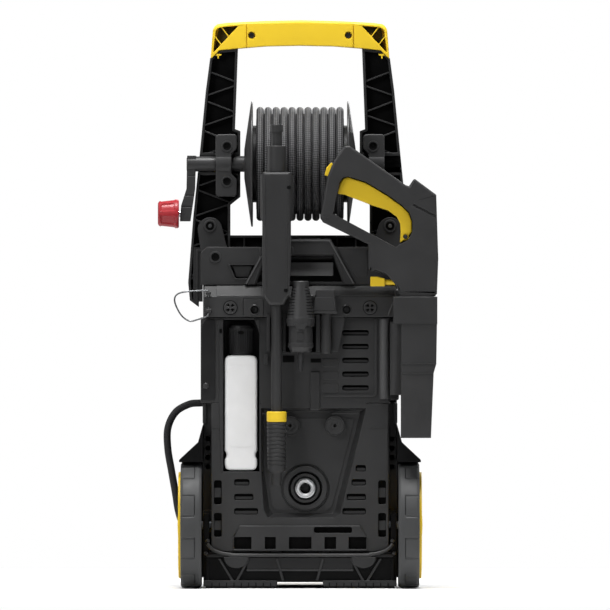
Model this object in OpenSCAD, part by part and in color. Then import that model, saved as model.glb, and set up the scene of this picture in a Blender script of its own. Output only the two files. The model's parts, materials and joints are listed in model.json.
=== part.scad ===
// Upright electric pressure washer with a hose reel, two wheels, a gun in its holster and two lances.
// +Z is up, -Y is the back, where the reel and the lances are. The origin is on the floor, under the middle.

/* [Body] */
// Half the width of the covers
cover_half_w = 149; // [140:1:149]
// Wall thickness of the plastic covers
wall = 3; // [2:0.5:4]
// Half the width of the front cover, which clears the wheels
front_half_w = 146; // [138:1:146]
// Distance of the rear cover's face behind the origin
rear_face = 113; // [111:1:115]
// Distance of the front cover's face before the origin
front_face = 165; // [150:1:175]

/* [Handle] */
// Height of the top of the grip
handle_top = 854; // [840:1:870]
// Depth of the handle frame's legs
leg_depth = 35; // [30:1:38]
// Thickness of the legs' flanges
flange_t = 4; // [3:0.5:6]
// Thickness of the zigzag ribs
rib_t = 2.5; // [2:0.5:4]

/* [Reel] */
// Height of the reel's axis
reel_z = 637.5; // [630:0.5:645]
// Outer diameter of the reel's flanges
reel_flange_d = 189; // [180:1:189]
// Outer diameter of the high-pressure hose
hose_d = 11.5; // [10:0.5:11.5]
// Turns of hose side by side on the reel
hose_turns = 11; // [9:1:11]

/* [Wheels] */
// Diameter of the tyres
wheel_d = 188; // [170:1:188]
// Width of a tyre's tread
tyre_w = 33; // [28:1:33]
// Diameter of the yellow hubs
hub_d = 160; // [140:1:164]
// Diameter of the axle
axle_d = 12; // [10:0.5:14]

/* [Water] */
// Diameter of the water inlet's thread
inlet_d = 26.4; // [26:0.1:33.2]
// Diameter of the lances' tubes
lance_tube_d = 16; // [12:0.5:16]

/* [Hidden] */
$fn = 48;
gap = 0.3;            // clearance between pieces that move
cut = 1;              // how far a cut runs past a face
dark = "#3c3c3e";
black = "#19191b";
yellow = "#f2c81e";
leg_back = -30;       // the legs' back face, which also holds the reel's axis
axle_y = -90;
axle_z = 94.5;
seam = -31;           // where the rear covers end
shelf_face = -128;
gun_y = -148;
lance_x = -35;
turbo_x = 1;
turbo_y = -151;
inlet_x = 8;
inlet_z = 150;
floor_y = -95;        // the face of the recessed pump panel
hose_y = 15;          // the connecting hose's plane
outlet_z = 88;
motor_y = 50;
hose_r = reel_flange_d / 2 - 8.5;   // outside of the wound hose
drum_r = 58;
knob_z = 562.5;
bottle_x = -88.5;
trigger_pivot = [158, 527];
lock_pivot = [53, 623];

// ---- helpers ----

// A flat outline drawn in X and Z, from y0 to y1
module slab(y0, y1) translate([0, y1, 0]) rotate([90, 0, 0]) linear_extrude(y1 - y0) children();

// An outline drawn in Y and Z, from x0 to x1
module profile(x0, x1) translate([x0, 0, 0]) rotate([90, 0, 90]) linear_extrude(x1 - x0) children();

// A box between two opposite corners
module box(a, b) translate(a) cube(b - a);

module rod_x(x0, x1, y, z, r) translate([x0, y, z]) rotate([0, 90, 0]) cylinder(r = r, h = x1 - x0);
module rod_y(y0, y1, x, z, r) translate([x, y1, z]) rotate([90, 0, 0]) cylinder(r = r, h = y1 - y0);
module rod_z(z0, z1, x, y, r) translate([x, y, z0]) cylinder(r = r, h = z1 - z0);

// A shape turned about a line along X
module turned_x(x, y, z) translate([x, y, z]) rotate([0, 90, 0]) rotate_extrude() children();

module rect(x0, z0, x1, z1) translate([x0, z0]) square([x1 - x0, z1 - z0]);
module round_rect(x0, z0, x1, z1, r) offset(r = r, $fn = 20) rect(x0 + r, z0 + r, x1 - r, z1 - r);
module both() { children(); mirror([1, 0, 0]) children(); }

// A cross-head screw that points along +Y, its head's top at y
module screw(x, y, z, length = 12) {
    difference() {
        union() {
            rod_y(y, y + 2.6, x, z, 4.2);
            rod_y(y, y + length, x, z, 2);
        }
        for (turn = [0, 90]) translate([x, y, z]) rotate([0, turn, 0]) cube([5, 2.6, 1], center = true);
    }
}

// A screw's boss inside a cover and the hole through it
module boss(x, y, z, depth = 16, r = 9) rod_y(y + 0.5, y + depth, x, z, r);
module boss_hole(x, y, z, r = 6.2) {
    rod_y(y - cut, y + 8, x, z, r);
    rod_y(y, y + 40, x, z, 2.2);
}

// A pocket sunk into a cover: its walls and floor, then what is cut away
module pocket_walls(y0, y1) {
    slab(y0, y1) difference() {
        offset(delta = wall) children();
        children();
    }
    slab(y1, y1 + wall) offset(delta = wall) children();
}

// A round tube along a path, with flat ends
function unit(v) = v / norm(v);
function side_dir(t) = unit(cross(t, abs(t[1]) > 0.9 ? [1, 0, 0] : [0, 1, 0]));
function heading(p, i) = unit(p[min(i + 1, len(p) - 1)] - p[max(i - 1, 0)]);
function spline(p, n) = [for (i = [0 : len(p) - 2], j = [0 : n - 1]) catmull(p, i, j / n), p[len(p) - 1]];
function catmull(p, i, t) =
    let (a = p[max(i - 1, 0)], b = p[i], c = p[i + 1], d = p[min(i + 2, len(p) - 1)])
    0.5 * (2 * b + (c - a) * t + (2 * a - 5 * b + 4 * c - d) * t * t + (3 * b - a - 3 * c + d) * t * t * t);
module tube(path, r, sides = 10) {
    last = len(path) - 1;
    points = [for (i = [0 : last], k = [0 : sides - 1])
        let (t = heading(path, i), u = side_dir(t), v = cross(t, u), a = 360 * k / sides)
        path[i] + r * (cos(a) * u + sin(a) * v)];
    walls = [for (i = [0 : last - 1], k = [0 : sides - 1])
        let (m = (k + 1) % sides) [i * sides + k, (i + 1) * sides + k, (i + 1) * sides + m, i * sides + m]];
    ends = [[for (k = [0 : sides - 1]) k], [for (k = [sides - 1 : -1 : 0]) last * sides + k]];
    polyhedron(points, concat(walls, ends), convexity = 6);
}

// ---- handle ----

leg_outer = [[-135.5, 796.5], [-142, 747], [-151, 653], [-161, 556], [-168.5, 459], [-166, 432],
    [-152.5, 422]];
leg_inner = [[-105, 530], [-105, 576], [-90, 588], [-90, 687], [-98, 690], [-93.5, 811.5], [-121.5, 808.5]];
rib_pitch = 45;       // between two ribs that slope the same way
bearing_screws = [[-110, 664], [-110, 611]];
ear_screw = [-135.5, 544];

module leg_outline() polygon(concat(leg_outer, [[-152.5, 505], [-105, 505]], leg_inner));
module bar_outline() rect(-106, 505, 106, 530);

// One leg's ribs, which zigzag between its flanges
module rib(z, angle) translate([-171 + 0.07 * z, z]) rotate(angle) square([130, rib_t], center = true);
module zigzag() {
    for (i = [0 : 6]) {
        rib(769 - rib_pitch * i, -21);
        rib(748 - rib_pitch * i, 19);
    }
    for (i = [0 : 3]) rib(476 - 19 * i, 24);
}

module handle_frame() color(black) difference() {
    union() {
        both() {
            slab(leg_back, leg_back + leg_depth) difference() {
                leg_outline();
                offset(delta = -flange_t) leg_outline();
            }
            slab(-14, -10) offset(delta = -flange_t / 2) leg_outline();
            slab(leg_back + 2, -12) intersection() {
                offset(delta = -flange_t / 2) leg_outline();
                zigzag();
            }
            for (p = concat(bearing_screws, [ear_screw])) rod_y(leg_back, -11, p[0], p[1], 8);
            slab(leg_back, -11) rect(-150, reel_z - 17, -91, reel_z + 17);
            rod_x(-154, -front_half_w, -12, 470, 8);
        }
        slab(leg_back, leg_back + leg_depth) difference() {
            bar_outline();
            rect(-120, 509, 120, 526);
        }
        slab(-14, -10) bar_outline();
        for (x = [-84 : 28 : 84]) slab(leg_back + 2, -12) rect(x - 1.25, 506, x + 1.25, 529);
    }
    rod_x(-190, 190, leg_back, reel_z, 12 + gap);
    both() for (p = concat(bearing_screws, [ear_screw])) rod_y(leg_back - cut, -15, p[0], p[1], 2.2);
}

grip_screw_x = 72.8;
grip_screw_z = 831;
module grip_half_outline() polygon([[0, handle_top], [-60, handle_top - 1.5], [-110, handle_top - 4],
    [-124, handle_top - 6], [-131, handle_top - 11], [-135.5, 796.5], [-121.5, 808.5], [-93.5, 811.5],
    [-50, 815], [0, 816]]);
module handle_grip() color(yellow) difference() {
    union() {
        slab(-33, 8) both() grip_half_outline();
    }
    both() {
        rod_y(-34, -27, grip_screw_x, grip_screw_z, 5.4);
        rod_y(-34, -2, grip_screw_x, grip_screw_z, 2.2);
        slab(-34, -16) polygon([[-130.5, 804], [-127, 838], [-121, 843.5], [-96, 845]]);
    }
}
module grip_screws() color("#2a2a2c") both() screw(grip_screw_x, -29.6, grip_screw_z, 16);

// ---- hose reel ----

module bearing_cap() color(dark) difference() {
    union() {
        slab(-48, leg_back) offset(r = 5, $fn = 24) offset(delta = -5)
            polygon([[-127, 588], [-127, 682], [-95, 682], [-95, 660], [-103, 652], [-103, 622], [-95, 614],
                [-95, 588]]);
        intersection() {
            rod_x(-127, -103, leg_back, reel_z, 21);
            box([-128, -60, 600], [-102, leg_back, 680]);
        }
    }
    rod_x(-128, -90, leg_back, reel_z, 12 + gap);
    for (p = bearing_screws) {
        rod_y(-49, -40, p[0], p[1], 6);
        rod_y(-49, -20, p[0], p[1], 2.2);
    }
}
module bearing_cap_left() bearing_cap();
module bearing_cap_right() mirror([1, 0, 0]) bearing_cap();
module bearing_cap_screws() color("#2a2a2c") both()
    for (p = bearing_screws) screw(p[0], -42.6, p[1], 22);

module reel_drum() color(dark) difference() {
    union() {
        turned_x(-71, leg_back, reel_z) translate([drum_r - 3, 0]) square([3, 142]);
        for (x = [-71, 68]) rod_x(x, x + 3, leg_back, reel_z, drum_r);
        rod_x(-128, 127, leg_back, reel_z, 12);
    }
    rod_x(-60, 127 + cut, leg_back, reel_z, 5);
}
// A cone flange: flat rim beside the hose, sloping away to the hub
module reel_flange() turned_x(-84, leg_back, reel_z)
    polygon([[12, 0], [22, 0], [88, 9.5], [reel_flange_d / 2, 10.5], [reel_flange_d / 2, 13], [12, 13]]);
module reel_flange_left() color(dark) reel_flange();
module reel_flange_right() color(dark) mirror([1, 0, 0]) reel_flange();
// The wound hose: rings of one outer layer over a plain core of the inner layers
module hose_on_reel() color("#2f3032") turned_x(-66, leg_back, reel_z) union() {
    translate([drum_r, 0]) square([hose_r - drum_r - hose_d / 2, 132]);
    for (i = [0 : hose_turns - 1])
        translate([hose_r - hose_d / 2, 6 + i * 12]) circle(d = hose_d, $fn = 32);
}

module crank_arm() color(dark) difference() {
    union() {
        rod_x(-170, -128, leg_back, reel_z, 11.5);
        slab(leg_back - 9, leg_back + 9) polygon([[-170, 650], [-156.5, 650], [-158, 600], [-165, 551],
            [-181, 551], [-179, 575], [-171, 600]]);
    }
    rod_x(-190, -150, leg_back, knob_z, 5);
}
module crank_pin() color("silver") union() {
    rod_x(-208, -165, leg_back, knob_z, 5);
    rod_x(-210, -208, leg_back, knob_z, 8);
}
module crank_knob() color("#c8323c") turned_x(-214, leg_back, knob_z)
    polygon([[0, 0], [16, 0], [18.5, 2.5], [22, 28], [21, 31.5], [5 + gap, 31.5], [5 + gap, 6.3],
        [8 + gap, 6.3], [8 + gap, 3.5], [0, 3.5]]);

// ---- base and wheels ----

module base() color(black) difference() {
    union() {
        difference() {
            box([-145, -115, 9.3], [145, front_face, 54.5]);
            box([-141, -111, 12.3], [141, front_face - 4, 60]);
        }
        box([-145, -124, 44.4], [145, -114, 54.5]);
        both() {
            box([34.5, -122, 3], [145, -70, 12]);
            box([34.5, 110, 3], [145, 160, 12]);
            box([136, -108, 30], [145, -72, 112]);
            slab(-121, -113) {
                for (tip = [122, 76]) polygon([[95.7, 6], [99.7, 6], [tip + 2, 46], [tip - 2, 46]]);
                polygon([[33, 46], [37, 46], [27.5, 12], [23.5, 12]]);
            }
            box([137, -121, 10], [141, -113, 46]);
        }
        for (x = [-90 : 45 : 90]) box([x - 1.5, -112, 11], [x + 1.5, front_face - 3, 26]);
        for (y = [-60 : 50 : 140]) box([-142, y - 1.5, 11], [142, y + 1.5, 26]);
    }
    rod_x(-150, 150, axle_y, axle_z, axle_d / 2 + gap);
}
module rubber_feet() color("#101011") both() for (y = [-119, 113]) box([37, y, 0], [142, y + 44, 3]);

module axle() color("silver") rod_x(-178, 178, axle_y, axle_z, axle_d / 2);
module axle_clips() color("silver") both() difference() {
    rod_x(173, 175, axle_y, axle_z, 10);
    rod_x(170, 177, axle_y, axle_z, axle_d / 2);
}
tyre_h = (wheel_d - hub_d) / 2;
module tyre() turned_x(-180, axle_y, axle_z) translate([hub_d / 2, 1]) polygon([[0, 0],
    [tyre_h - 3, 0], [tyre_h, 3], [tyre_h, tyre_w - 4], [tyre_h - 3, tyre_w - 1], [0, tyre_w - 1]]);
module hub() difference() {
    turned_x(-184, axle_y, axle_z) polygon([[0, 0], [14, 0.5], [20, 4], [34, 5], [37.5, 10],
        [70, 8], [74, 1.5], [hub_d / 2, 1.5], [hub_d / 2, 35], [hub_d / 2 - 4, 35],
         [hub_d / 2 - 4, 14], [20, 14], [20, 35],
        [0, 35]]);
    rod_x(-173 - gap, -140, axle_y, axle_z, axle_d / 2 + gap);
    rod_x(-180, -172, axle_y, axle_z, 11);
    for (i = [0 : 5]) translate([-190, axle_y, axle_z]) rotate([60 * i + 30, 0, 0])
        translate([0, 0, 55]) rotate([0, 90, 0]) cylinder(r = 11, h = 30);
}
module wheel_left() color("#2c2c2e") tyre();
module wheel_right() color("#2c2c2e") mirror([1, 0, 0]) tyre();
module wheel_hub_left() color(yellow) hub();
module wheel_hub_right() color(yellow) mirror([1, 0, 0]) hub();
module fender() color(black) slab(-128, -33)
    polygon([[-181.5, 192.5], [-181.5, 189.2], [-145.5, 189.2], [-145.5, 246], [-153, 219]]);
module fender_left() fender();
module fender_right() mirror([1, 0, 0]) fender();

// ---- covers ----

// the recess around the pump: its rim on the cover's face, and its smaller floor
recess_rim = [[-58, 270], [-58, 175], [-54, 118], [-48, 106], [52, 106], [60, 112], [99, 270]];
recess_floor = [[-54, 266], [-54, 175], [-46, 118], [-40, 112], [48, 112], [53, 118], [91, 266]];
left_slots = [[159, -76], [137, -70], [115.5, -63]];
right_slots = [[180, 83.6], [159, 77.4], [137, 70], [115.5, 64]];
rear_screws = [[52.4, 244], [-15, 244]];
notches = [[-99, -73], [-52.6, -36.5], [-16.5, 17], [37, 54], [73, 100]];

module rear_outline() {
    rect(-133, 55, 133, 279);
    rect(-cover_half_w, 278, 135, 406.5);
}
module bottle_recess() rect(-115, 175, -61, 403);
// The recess as a solid with sloping sides, grown sideways by grow and to the front by thick
module recess_shape(grow, thick) hull() {
    slab(-rear_face - (grow > 0 ? 0 : 0.2), -rear_face + 0.5) offset(delta = grow) polygon(recess_rim);
    slab(floor_y - 0.5 + thick, floor_y + thick) offset(delta = grow) polygon(recess_floor);
}
module rear_slots() {
    for (i = [0 : 4]) round_rect(63.5, 296.8 + 20.7 * i, 103, 304.8 + 20.7 * i, 3);
    for (s = left_slots) round_rect(-98.5, s[0] - 4.9, s[1], s[0] + 4.9, 3);
    for (s = right_slots) round_rect(s[1], s[0] - 4.9, 98.9, s[0] + 4.9, 3);
    both() for (z = [77, 126]) round_rect(-129, z, -117.6, z + 36, 3);
    round_rect(21, 83, 78, 92, 3);
    for (n = notches) rect(n[0], 59, n[1], 77);
}
module wing() difference() {
    box([-145.5, -70, 114], [-132, seam, 278]);
    box([-142.5, -67, 117], [-134, seam + cut, 275]);
    for (z = [182 : 14 : 226]) rod_y(-71, -60, -138, z, 3.75);
}
module rear_cover() color(dark) difference() {
    union() {
        difference() {
            slab(-rear_face, seam) rear_outline();
            slab(-rear_face + wall, seam + cut) offset(delta = -wall) rear_outline();
            slab(-rear_face - cut, -rear_face + 10) bottle_recess();
        }
        both() wing();
        recess_shape(wall, wall);
        slab(-rear_face - 3, -rear_face + 1) both()
            polygon([[0, 56], [100.5, 56], [100.5, 76], [90.5, 93.8], [0, 93.8]]);
        pocket_walls(-rear_face, -64) bottle_recess();
    }
    difference() {
        recess_shape(0, 0);
        rod_y(floor_y - 6, floor_y + 1, inlet_x, inlet_z, 33);
        for (s = rear_screws) rod_y(-rear_face + 4, floor_y + 1, s[0], s[1], 13);
    }
    rod_y(floor_y - 7, floor_y, inlet_x, inlet_z, 25);
    rod_y(floor_y - 7, -80, inlet_x, inlet_z, 17);
    for (s = rear_screws) boss_hole(s[0], -rear_face + 4, s[1], 6);
    slab(-rear_face - 5, -rear_face + 8) rear_slots();
    rod_x(-150, 150, axle_y, axle_z, axle_d / 2 + 2);
}

module ears() both() slab(-42, seam) hull() {
    translate(ear_screw - [0, 5.5]) circle(r = 18.5, $fn = 40);
    rect(-149, 505, -110, 512);
}
upper_screw = [-127, 497];
module upper_outline() both() polygon([[0, 455], [cover_half_w, 455], [cover_half_w, 503], [140, 512],
    [52, 512], [46, 524], [0, 524]]);
module handle_recess() polygon([[-63, 460], [-50, 498], [50, 498], [63, 460]]);
module nozzle_pocket() polygon([[-106, 485], [-67, 485], [-76, 465], [-97, 465]]);
module upper_rear_cover() color(dark) difference() {
    union() {
        difference() {
            slab(-108, seam) upper_outline();
            slab(-108 + wall, seam + cut) offset(delta = -wall) upper_outline();
            slab(-110, -100) {
                handle_recess();
                nozzle_pocket();
            }
        }
        pocket_walls(-108, -70) handle_recess();
        pocket_walls(-108, -80) nozzle_pocket();
        slab(-114, -107) difference() {
            polygon([[-83, 456], [-46, 524], [46, 524], [83, 456]]);
            polygon([[-66, 456], [-50, 500], [50, 500], [66, 456]]);
        }
        ears();
        both() boss(upper_screw[0], -108, upper_screw[1]);
        box([-60, -127.5, 500], [-10, -107, 512]);
    }
    both() {
        boss_hole(upper_screw[0], -108, upper_screw[1]);
        rod_y(-43, -37, ear_screw[0], ear_screw[1], 6.5);
        rod_y(-43, -20, ear_screw[0], ear_screw[1], 2.2);
    }
}

shelf_screws = [[-104.4, 421], [-68, 418], [69.8, 418], [105, 421]];
hook_pivot = [-137, -131.5];
module accessory_shelf() color(dark) difference() {
    union() {
        difference() {
            profile(-144, 144) polygon([[shelf_face, 407], [shelf_face, 437.5], [-108.5, 453.5],
                [seam, 453.5], [seam, 407]]);
            profile(-141, 141) polygon([[shelf_face + wall, 410], [shelf_face + wall, 436], [-107, 450.5],
                [seam + cut, 450.5], [seam + cut, 410]]);
        }
        for (s = shelf_screws) boss(s[0], shelf_face, s[1]);
        slab(-148, shelf_face + 1) polygon([[20, 413], [55, 413], [51, 448], [24, 448]]);
        rod_z(354, 414, 39, -139, 5.5);
        for (z = [414, 440]) box([-141, -136, z], [-133, shelf_face + 1, z + 5]);
    }
    for (s = shelf_screws) boss_hole(s[0], shelf_face, s[1]);
    rod_z(350, 460, turbo_x, turbo_y, 23);
    rod_z(410, 450, hook_pivot[0], hook_pivot[1], 1.9);
}
module cover_screws() color("#2a2a2c") {
    for (s = rear_screws) screw(s[0], -rear_face + 9.4, s[1], 16);
    for (s = shelf_screws) screw(s[0], shelf_face + 5.4, s[1]);
    both() {
        screw(upper_screw[0], -108 + 5.4, upper_screw[1]);
        screw(ear_screw[0], -39.6, ear_screw[1], 20);
    }
}

module front_profile() polygon([[-30.5, 55], [front_face, 55], [front_face, 360], [112, 470], [85, 504],
    [-30.5, 504]]);
module front_plan() offset(r = 14, $fn = 24) offset(delta = -14)
    square([2 * front_half_w, 2 * front_face], center = true);
knob_at = [0, 300];
module front_cover() color(dark) difference() {
    intersection() {
        profile(-front_half_w, front_half_w) front_profile();
        linear_extrude(600) front_plan();
    }
    intersection() {
        profile(-front_half_w + wall, front_half_w - wall) {
            offset(delta = -wall) front_profile();
            rect(-40, 50, front_face - wall, 60);
            rect(-40, 58, 0, 504 - wall);
        }
        linear_extrude(600) offset(delta = -wall) front_plan();
    }
    rod_y(front_face - 10, front_face + 10, knob_at[0], knob_at[1], 8);
    rod_x(-160, -140, hose_y, outlet_z, 11);
    rod_x(-160, -140, hose_y, 277, 8);
    rod_x(140, 160, 60, 110, 8.5);
    for (i = [0 : 7]) both() box([135, 20 + 14 * i, 180], [160, 26 + 14 * i, 250]);
}
module front_panel() color(yellow) difference() {
    slab(front_face, front_face + 3) round_rect(-90, 90, 90, 350, 20);
    rod_y(front_face - cut, front_face + 5, knob_at[0], knob_at[1], 8);
}
module power_switch_knob() color(dark) union() {
    rod_y(front_face + 3 + gap, front_face + 21, knob_at[0], knob_at[1], 24);
    rod_y(front_face - 22, front_face + 4, knob_at[0], knob_at[1], 5);
    translate([knob_at[0], front_face + 19, knob_at[1]]) cube([8, 10, 44], center = true);
}
module switch_box() color("#707478") difference() {
    box([-30, front_face - 45, knob_at[1] - 30], [30, front_face - wall, knob_at[1] + 30]);
    rod_y(front_face - 24, front_face, knob_at[0], knob_at[1], 5 + gap);
}
module cable_gland() color(black) difference() {
    union() {
        rod_x(140, 160, 60, 110, 8.5);
        rod_x(front_half_w, 153, 60, 110, 13);
    }
    rod_x(139, 162, 60, 110, 4);
}

// ---- water path and motor ----

module water_inlet() color("silver") difference() {
    union() {
        rod_y(-116, floor_y, inlet_x, inlet_z, inlet_d / 2);
        rod_y(floor_y, -75, inlet_x, inlet_z, 15);
        rod_y(-75, 5, inlet_x, inlet_z, 10);
    }
    rod_y(-117, -90, inlet_x, inlet_z, 10.5);
    rod_y(-91, 6, inlet_x, inlet_z, 7);
}
module inlet_filter() color("white") difference() {
    rod_y(-108, -90, inlet_x, inlet_z, 10.5);
    rod_y(-109, -93, inlet_x, inlet_z, 8.5);
    for (i = [0 : 5]) translate([inlet_x, 0, inlet_z]) rotate([0, 60 * i, 0])
        box([-1.5, -105, 5], [1.5, -96, 12]);
}
module pump() color("#9aa0a6") difference() {
    union() {
        box([-50, 5, 100], [50, 95, 228]);
        rod_z(60, 100, 0, motor_y, 42);
        for (x = [-36, 36], y = [16, 84]) rod_z(26, 101, x, y, 8);
        rod_x(-100, -49, hose_y, 118, 10);
    }
    rod_z(180, 229, 0, motor_y, 8 + gap);
}
module outlet_fitting() color("silver") difference() {
    union() {
        rod_x(-front_half_w + wall, -120, hose_y, outlet_z, 13);
        rod_x(-164, -front_half_w + wall, hose_y, outlet_z, 9.5);
    }
    rod_x(-165, -119, hose_y, outlet_z, 6.2);
}
module motor_housing() color("#5a6068") difference() {
    rod_z(228, 440, 0, motor_y, 70);
    rod_z(233, 436, 0, motor_y, 65);
    rod_z(220, 450, 0, motor_y, 8 + gap);
    for (i = [0 : 11]) translate([0, motor_y, 0]) rotate([0, 0, 30 * i]) box([60, -5, 400], [75, 5, 425]);
}
module motor_rotor() color("silver") union() {
    rod_z(184, 445, 0, motor_y, 8);
    rod_z(260, 370, 0, motor_y, 46);
    rod_z(398, 402, 0, motor_y, 60);
    for (i = [0 : 8]) translate([0, motor_y, 0]) rotate([0, 0, 40 * i]) box([10, -1.5, 401], [58, 1.5, 420]);
}
hose_route = [[-141, 15, 277], [-152, 15, 277], [-168, 15, 275], [-188, 15, 263], [-199.5, 15, 239],
    [-199.5, 15, 208], [-194, 15, 175], [-188, 15, 141], [-184, 15, 116], [-178, 15, 98], [-167, 15, 88.8],
    [-158, 15, outlet_z], [-150, 15, outlet_z]];
module connecting_hose() color("#2f3032") tube(spline(hose_route, 4), 5.5, 12);

// ---- bottle and hook ----

module detergent_bottle() color("#e8e8e8") difference() {
    union() {
        slab(-112, -68) round_rect(bottle_x - 24.5, 177, bottle_x + 24.5, 349.5, 7);
        rod_z(349, 362, bottle_x, -90, 15);
    }
    slab(-110, -70) round_rect(bottle_x - 22.5, 179, bottle_x + 22.5, 347.5, 5);
    rod_z(340, 364, bottle_x, -90, 12.5);
}
module bottle_cap() color(black) difference() {
    rod_z(350, 396, bottle_x, -90, 20);
    rod_z(346, 380, bottle_x, -90, 15 + gap);
    rod_z(390, 397, bottle_x, -90, 7);
}
hook_route = [[-137, -131.5, 437], [-137, -131.5, 442], [-138.5, -131.5, 446.3], [-150, -131.5, 446.5],
    [-180, -131.5, 443], [-188, -131.5, 432], [-179, -131.5, 411], [-166, -131.5, 401], [-154, -131.5, 403],
    [-141, -131.5, 407.5], [-137.3, -131.5, 411], [-137, -131.5, 416], [-137, -131.5, 422]];
module cord_hook() color("silver") tube(spline(hook_route, 2), 1.2, 8);

// ---- gun and holster ----

gun_outline = [[30.2, 557], [40.7, 616.7], [50, 639], [61, 655.5], [67, 663.5], [75, 663], [158, 604.5],
    [163, 603], [171, 614.5], [204, 590], [205, 554], [207, 494], [205, 441], [201, 439], [201, 402],
    [146, 402], [146, 448], [141.8, 456.5], [130.5, 469.5], [111, 476], [102, 478], [102, 516], [34, 549]];
gun_window = [[49.6, 561.7], [143.4, 511.5], [149.5, 516], [161.5, 522], [168.2, 534.2], [168.2, 550.4],
    [163.3, 563.8], [153.5, 573.5], [131, 590], [98.5, 609.2], [72.2, 617.3], [64.5, 615.7], [58.7, 607.3]];
trigger_outline = [[56.2, 591.6], [60.2, 606.6], [65, 614.6], [72.2, 616.2], [98, 608], [130.3, 588.8],
    [152.8, 572.4], [162.3, 563], [167.2, 550.3], [167.2, 534.4], [161, 523.4], [149.5, 518], [150.7, 534.2],
    [149.9, 547.1], [145, 556.8], [132.1, 566.5], [111.1, 573], [77.1, 586], [67.4, 590]];
gun_cavity = [[66, 625], [70, 650], [140, 608], [165, 596], [200, 586], [203, 500], [197, 445], [152, 445],
    [150, 485], [108, 486], [120, 505], [150, 508], [172, 530], [172, 556], [160, 577], [130, 597],
    [90, 616]];

module gun_shell(side) difference() {
    slab(gun_y + (side < 0 ? -18 : 0), gun_y + (side < 0 ? 0 : 18)) difference() {
        offset(r = 2.5, $fn = 24) offset(delta = -2.5) polygon(gun_outline);
        polygon(gun_window);
    }
    slab(gun_y - 14.5, gun_y + 14.5) polygon(gun_cavity);
    // the way in for the trigger
    slab(gun_y - 8.6, gun_y + 8.6) hull() {
        translate(trigger_pivot) circle(r = 15);
        polygon([[55, 593], [57, 625], [80, 640], [170, 585], [160, 560]]);
    }
    box([90, gun_y - 9, 452], [150, gun_y + 9, 470]);
    box([140, gun_y - 13, 400], [199, gun_y + 13, 470]);
    rod_y(gun_y - 10, gun_y + 10, lock_pivot[0], lock_pivot[1], 19);
    rod_y(gun_y - 12, gun_y + 12, trigger_pivot[0], trigger_pivot[1], 3);
    rod_y(gun_y - 12, gun_y + 12, lock_pivot[0], lock_pivot[1], 2);
    // room below the shoulders, inside the holster
    for (y = [gun_y - 19, gun_y + 15]) box([100, y, 400], [210, y + 4, 440]);
}
module gun_shell_left() color(dark) gun_shell(-1);
module gun_shell_right() color(dark) gun_shell(1);
module gun_barrel() color("silver") difference() {
    union() {
        rod_z(404, 500, 173, gun_y, 12.5);
        box([155, gun_y - 14, 500], [190, gun_y + 14, 512]);
        rod_z(512, 575, 184, gun_y, 7);
    }
    rod_z(403, 450, 173, gun_y, 8.1);
}
module gun_pins() color("silver") {
    rod_y(gun_y - 12, gun_y + 12, trigger_pivot[0], trigger_pivot[1], 3);
    rod_y(gun_y - 12, gun_y + 12, lock_pivot[0], lock_pivot[1], 2);
}
module gun_trigger() color(yellow) difference() {
    slab(gun_y - 8, gun_y + 8) polygon(trigger_outline);
    rod_y(gun_y - 10, gun_y + 10, trigger_pivot[0], trigger_pivot[1], 3 + gap);
}
module trigger_lock() color(yellow) difference() {
    slab(gun_y - 6, gun_y + 6) hull() {
        translate(lock_pivot) circle(r = 4.5, $fn = 32);
        polygon([[36.8, 619], [40, 631], [47, 638.5], [51, 634], [44, 617]]);
    }
    rod_y(gun_y - 10, gun_y + 10, lock_pivot[0], lock_pivot[1], 2 + gap);
}
module lance_release_button() color(yellow) union() {
    slab(gun_y - 8.5, gun_y + 8.5) polygon([[105.4, 453], [105.4, 467.5], [115, 467.5], [127, 464.6],
        [127, 453]]);
    rod_x(126, 150, gun_y, 459, 4);
}

module holster() color(dark) difference() {
    union() {
        slab(-170, -128.6) {
            rect(139.5, 396, 205.5, 437.6);
            polygon([[151, 397], [205, 397], [204, 337], [200, 323], [196, 226], [151, 226]]);
        }
        box([135, -131.5, 290], [153.5, -60, 400]);
    }
    slab(-167, -131.6) {
        rect(142.5, 399, 203, 440);
        polygon([[154, 400], [202, 400], [201, 337], [197, 323], [193, 229], [154, 229]]);
    }
    box([140, -125, 296], [154, -66, 394]);
}

// ---- lances ----

module lance_handle() color(dark) difference() {
    intersection() {
        slab(gun_y - 19, gun_y + 19) polygon([[-59.5, 619], [-54.5, 624], [-15.5, 624],
            [-10.5, 619], [-10.5, 555], [-13.5, 550], [-13.5, 480], [-15.5, 462], [-15.5, 440],
             [-24.5, 425], [-45.5, 425], [-56.5, 440],
            [-56.5, 550], [-59.5, 555]]);
        linear_extrude(700) translate([lance_x, gun_y]) offset(r = 8, $fn = 24)
            square([33, 22], center = true);
    }
    rod_z(400, 640, lance_x, gun_y, lance_tube_d / 2);
}
module lance_stub() color(dark) difference() {
    union() {
        rod_z(624, 663, lance_x, gun_y, 14.3);
        rod_z(663, 688, lance_x, gun_y, 8);
        rod_z(684, 695, lance_x, gun_y, 9.7);
    }
    rod_z(620, 700, lance_x, gun_y, 3);
}
module lance_tube() color("#2c2c2e") difference() {
    rod_z(200, 624, lance_x, gun_y, lance_tube_d / 2);
    rod_z(195, 630, lance_x, gun_y, lance_tube_d / 2 - 2.5);
}
module lance_collar() color(yellow) difference() {
    rod_z(250, 265.5, lance_x, gun_y, 14.8);
    rod_z(245, 270, lance_x, gun_y, lance_tube_d / 2);
}
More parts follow.
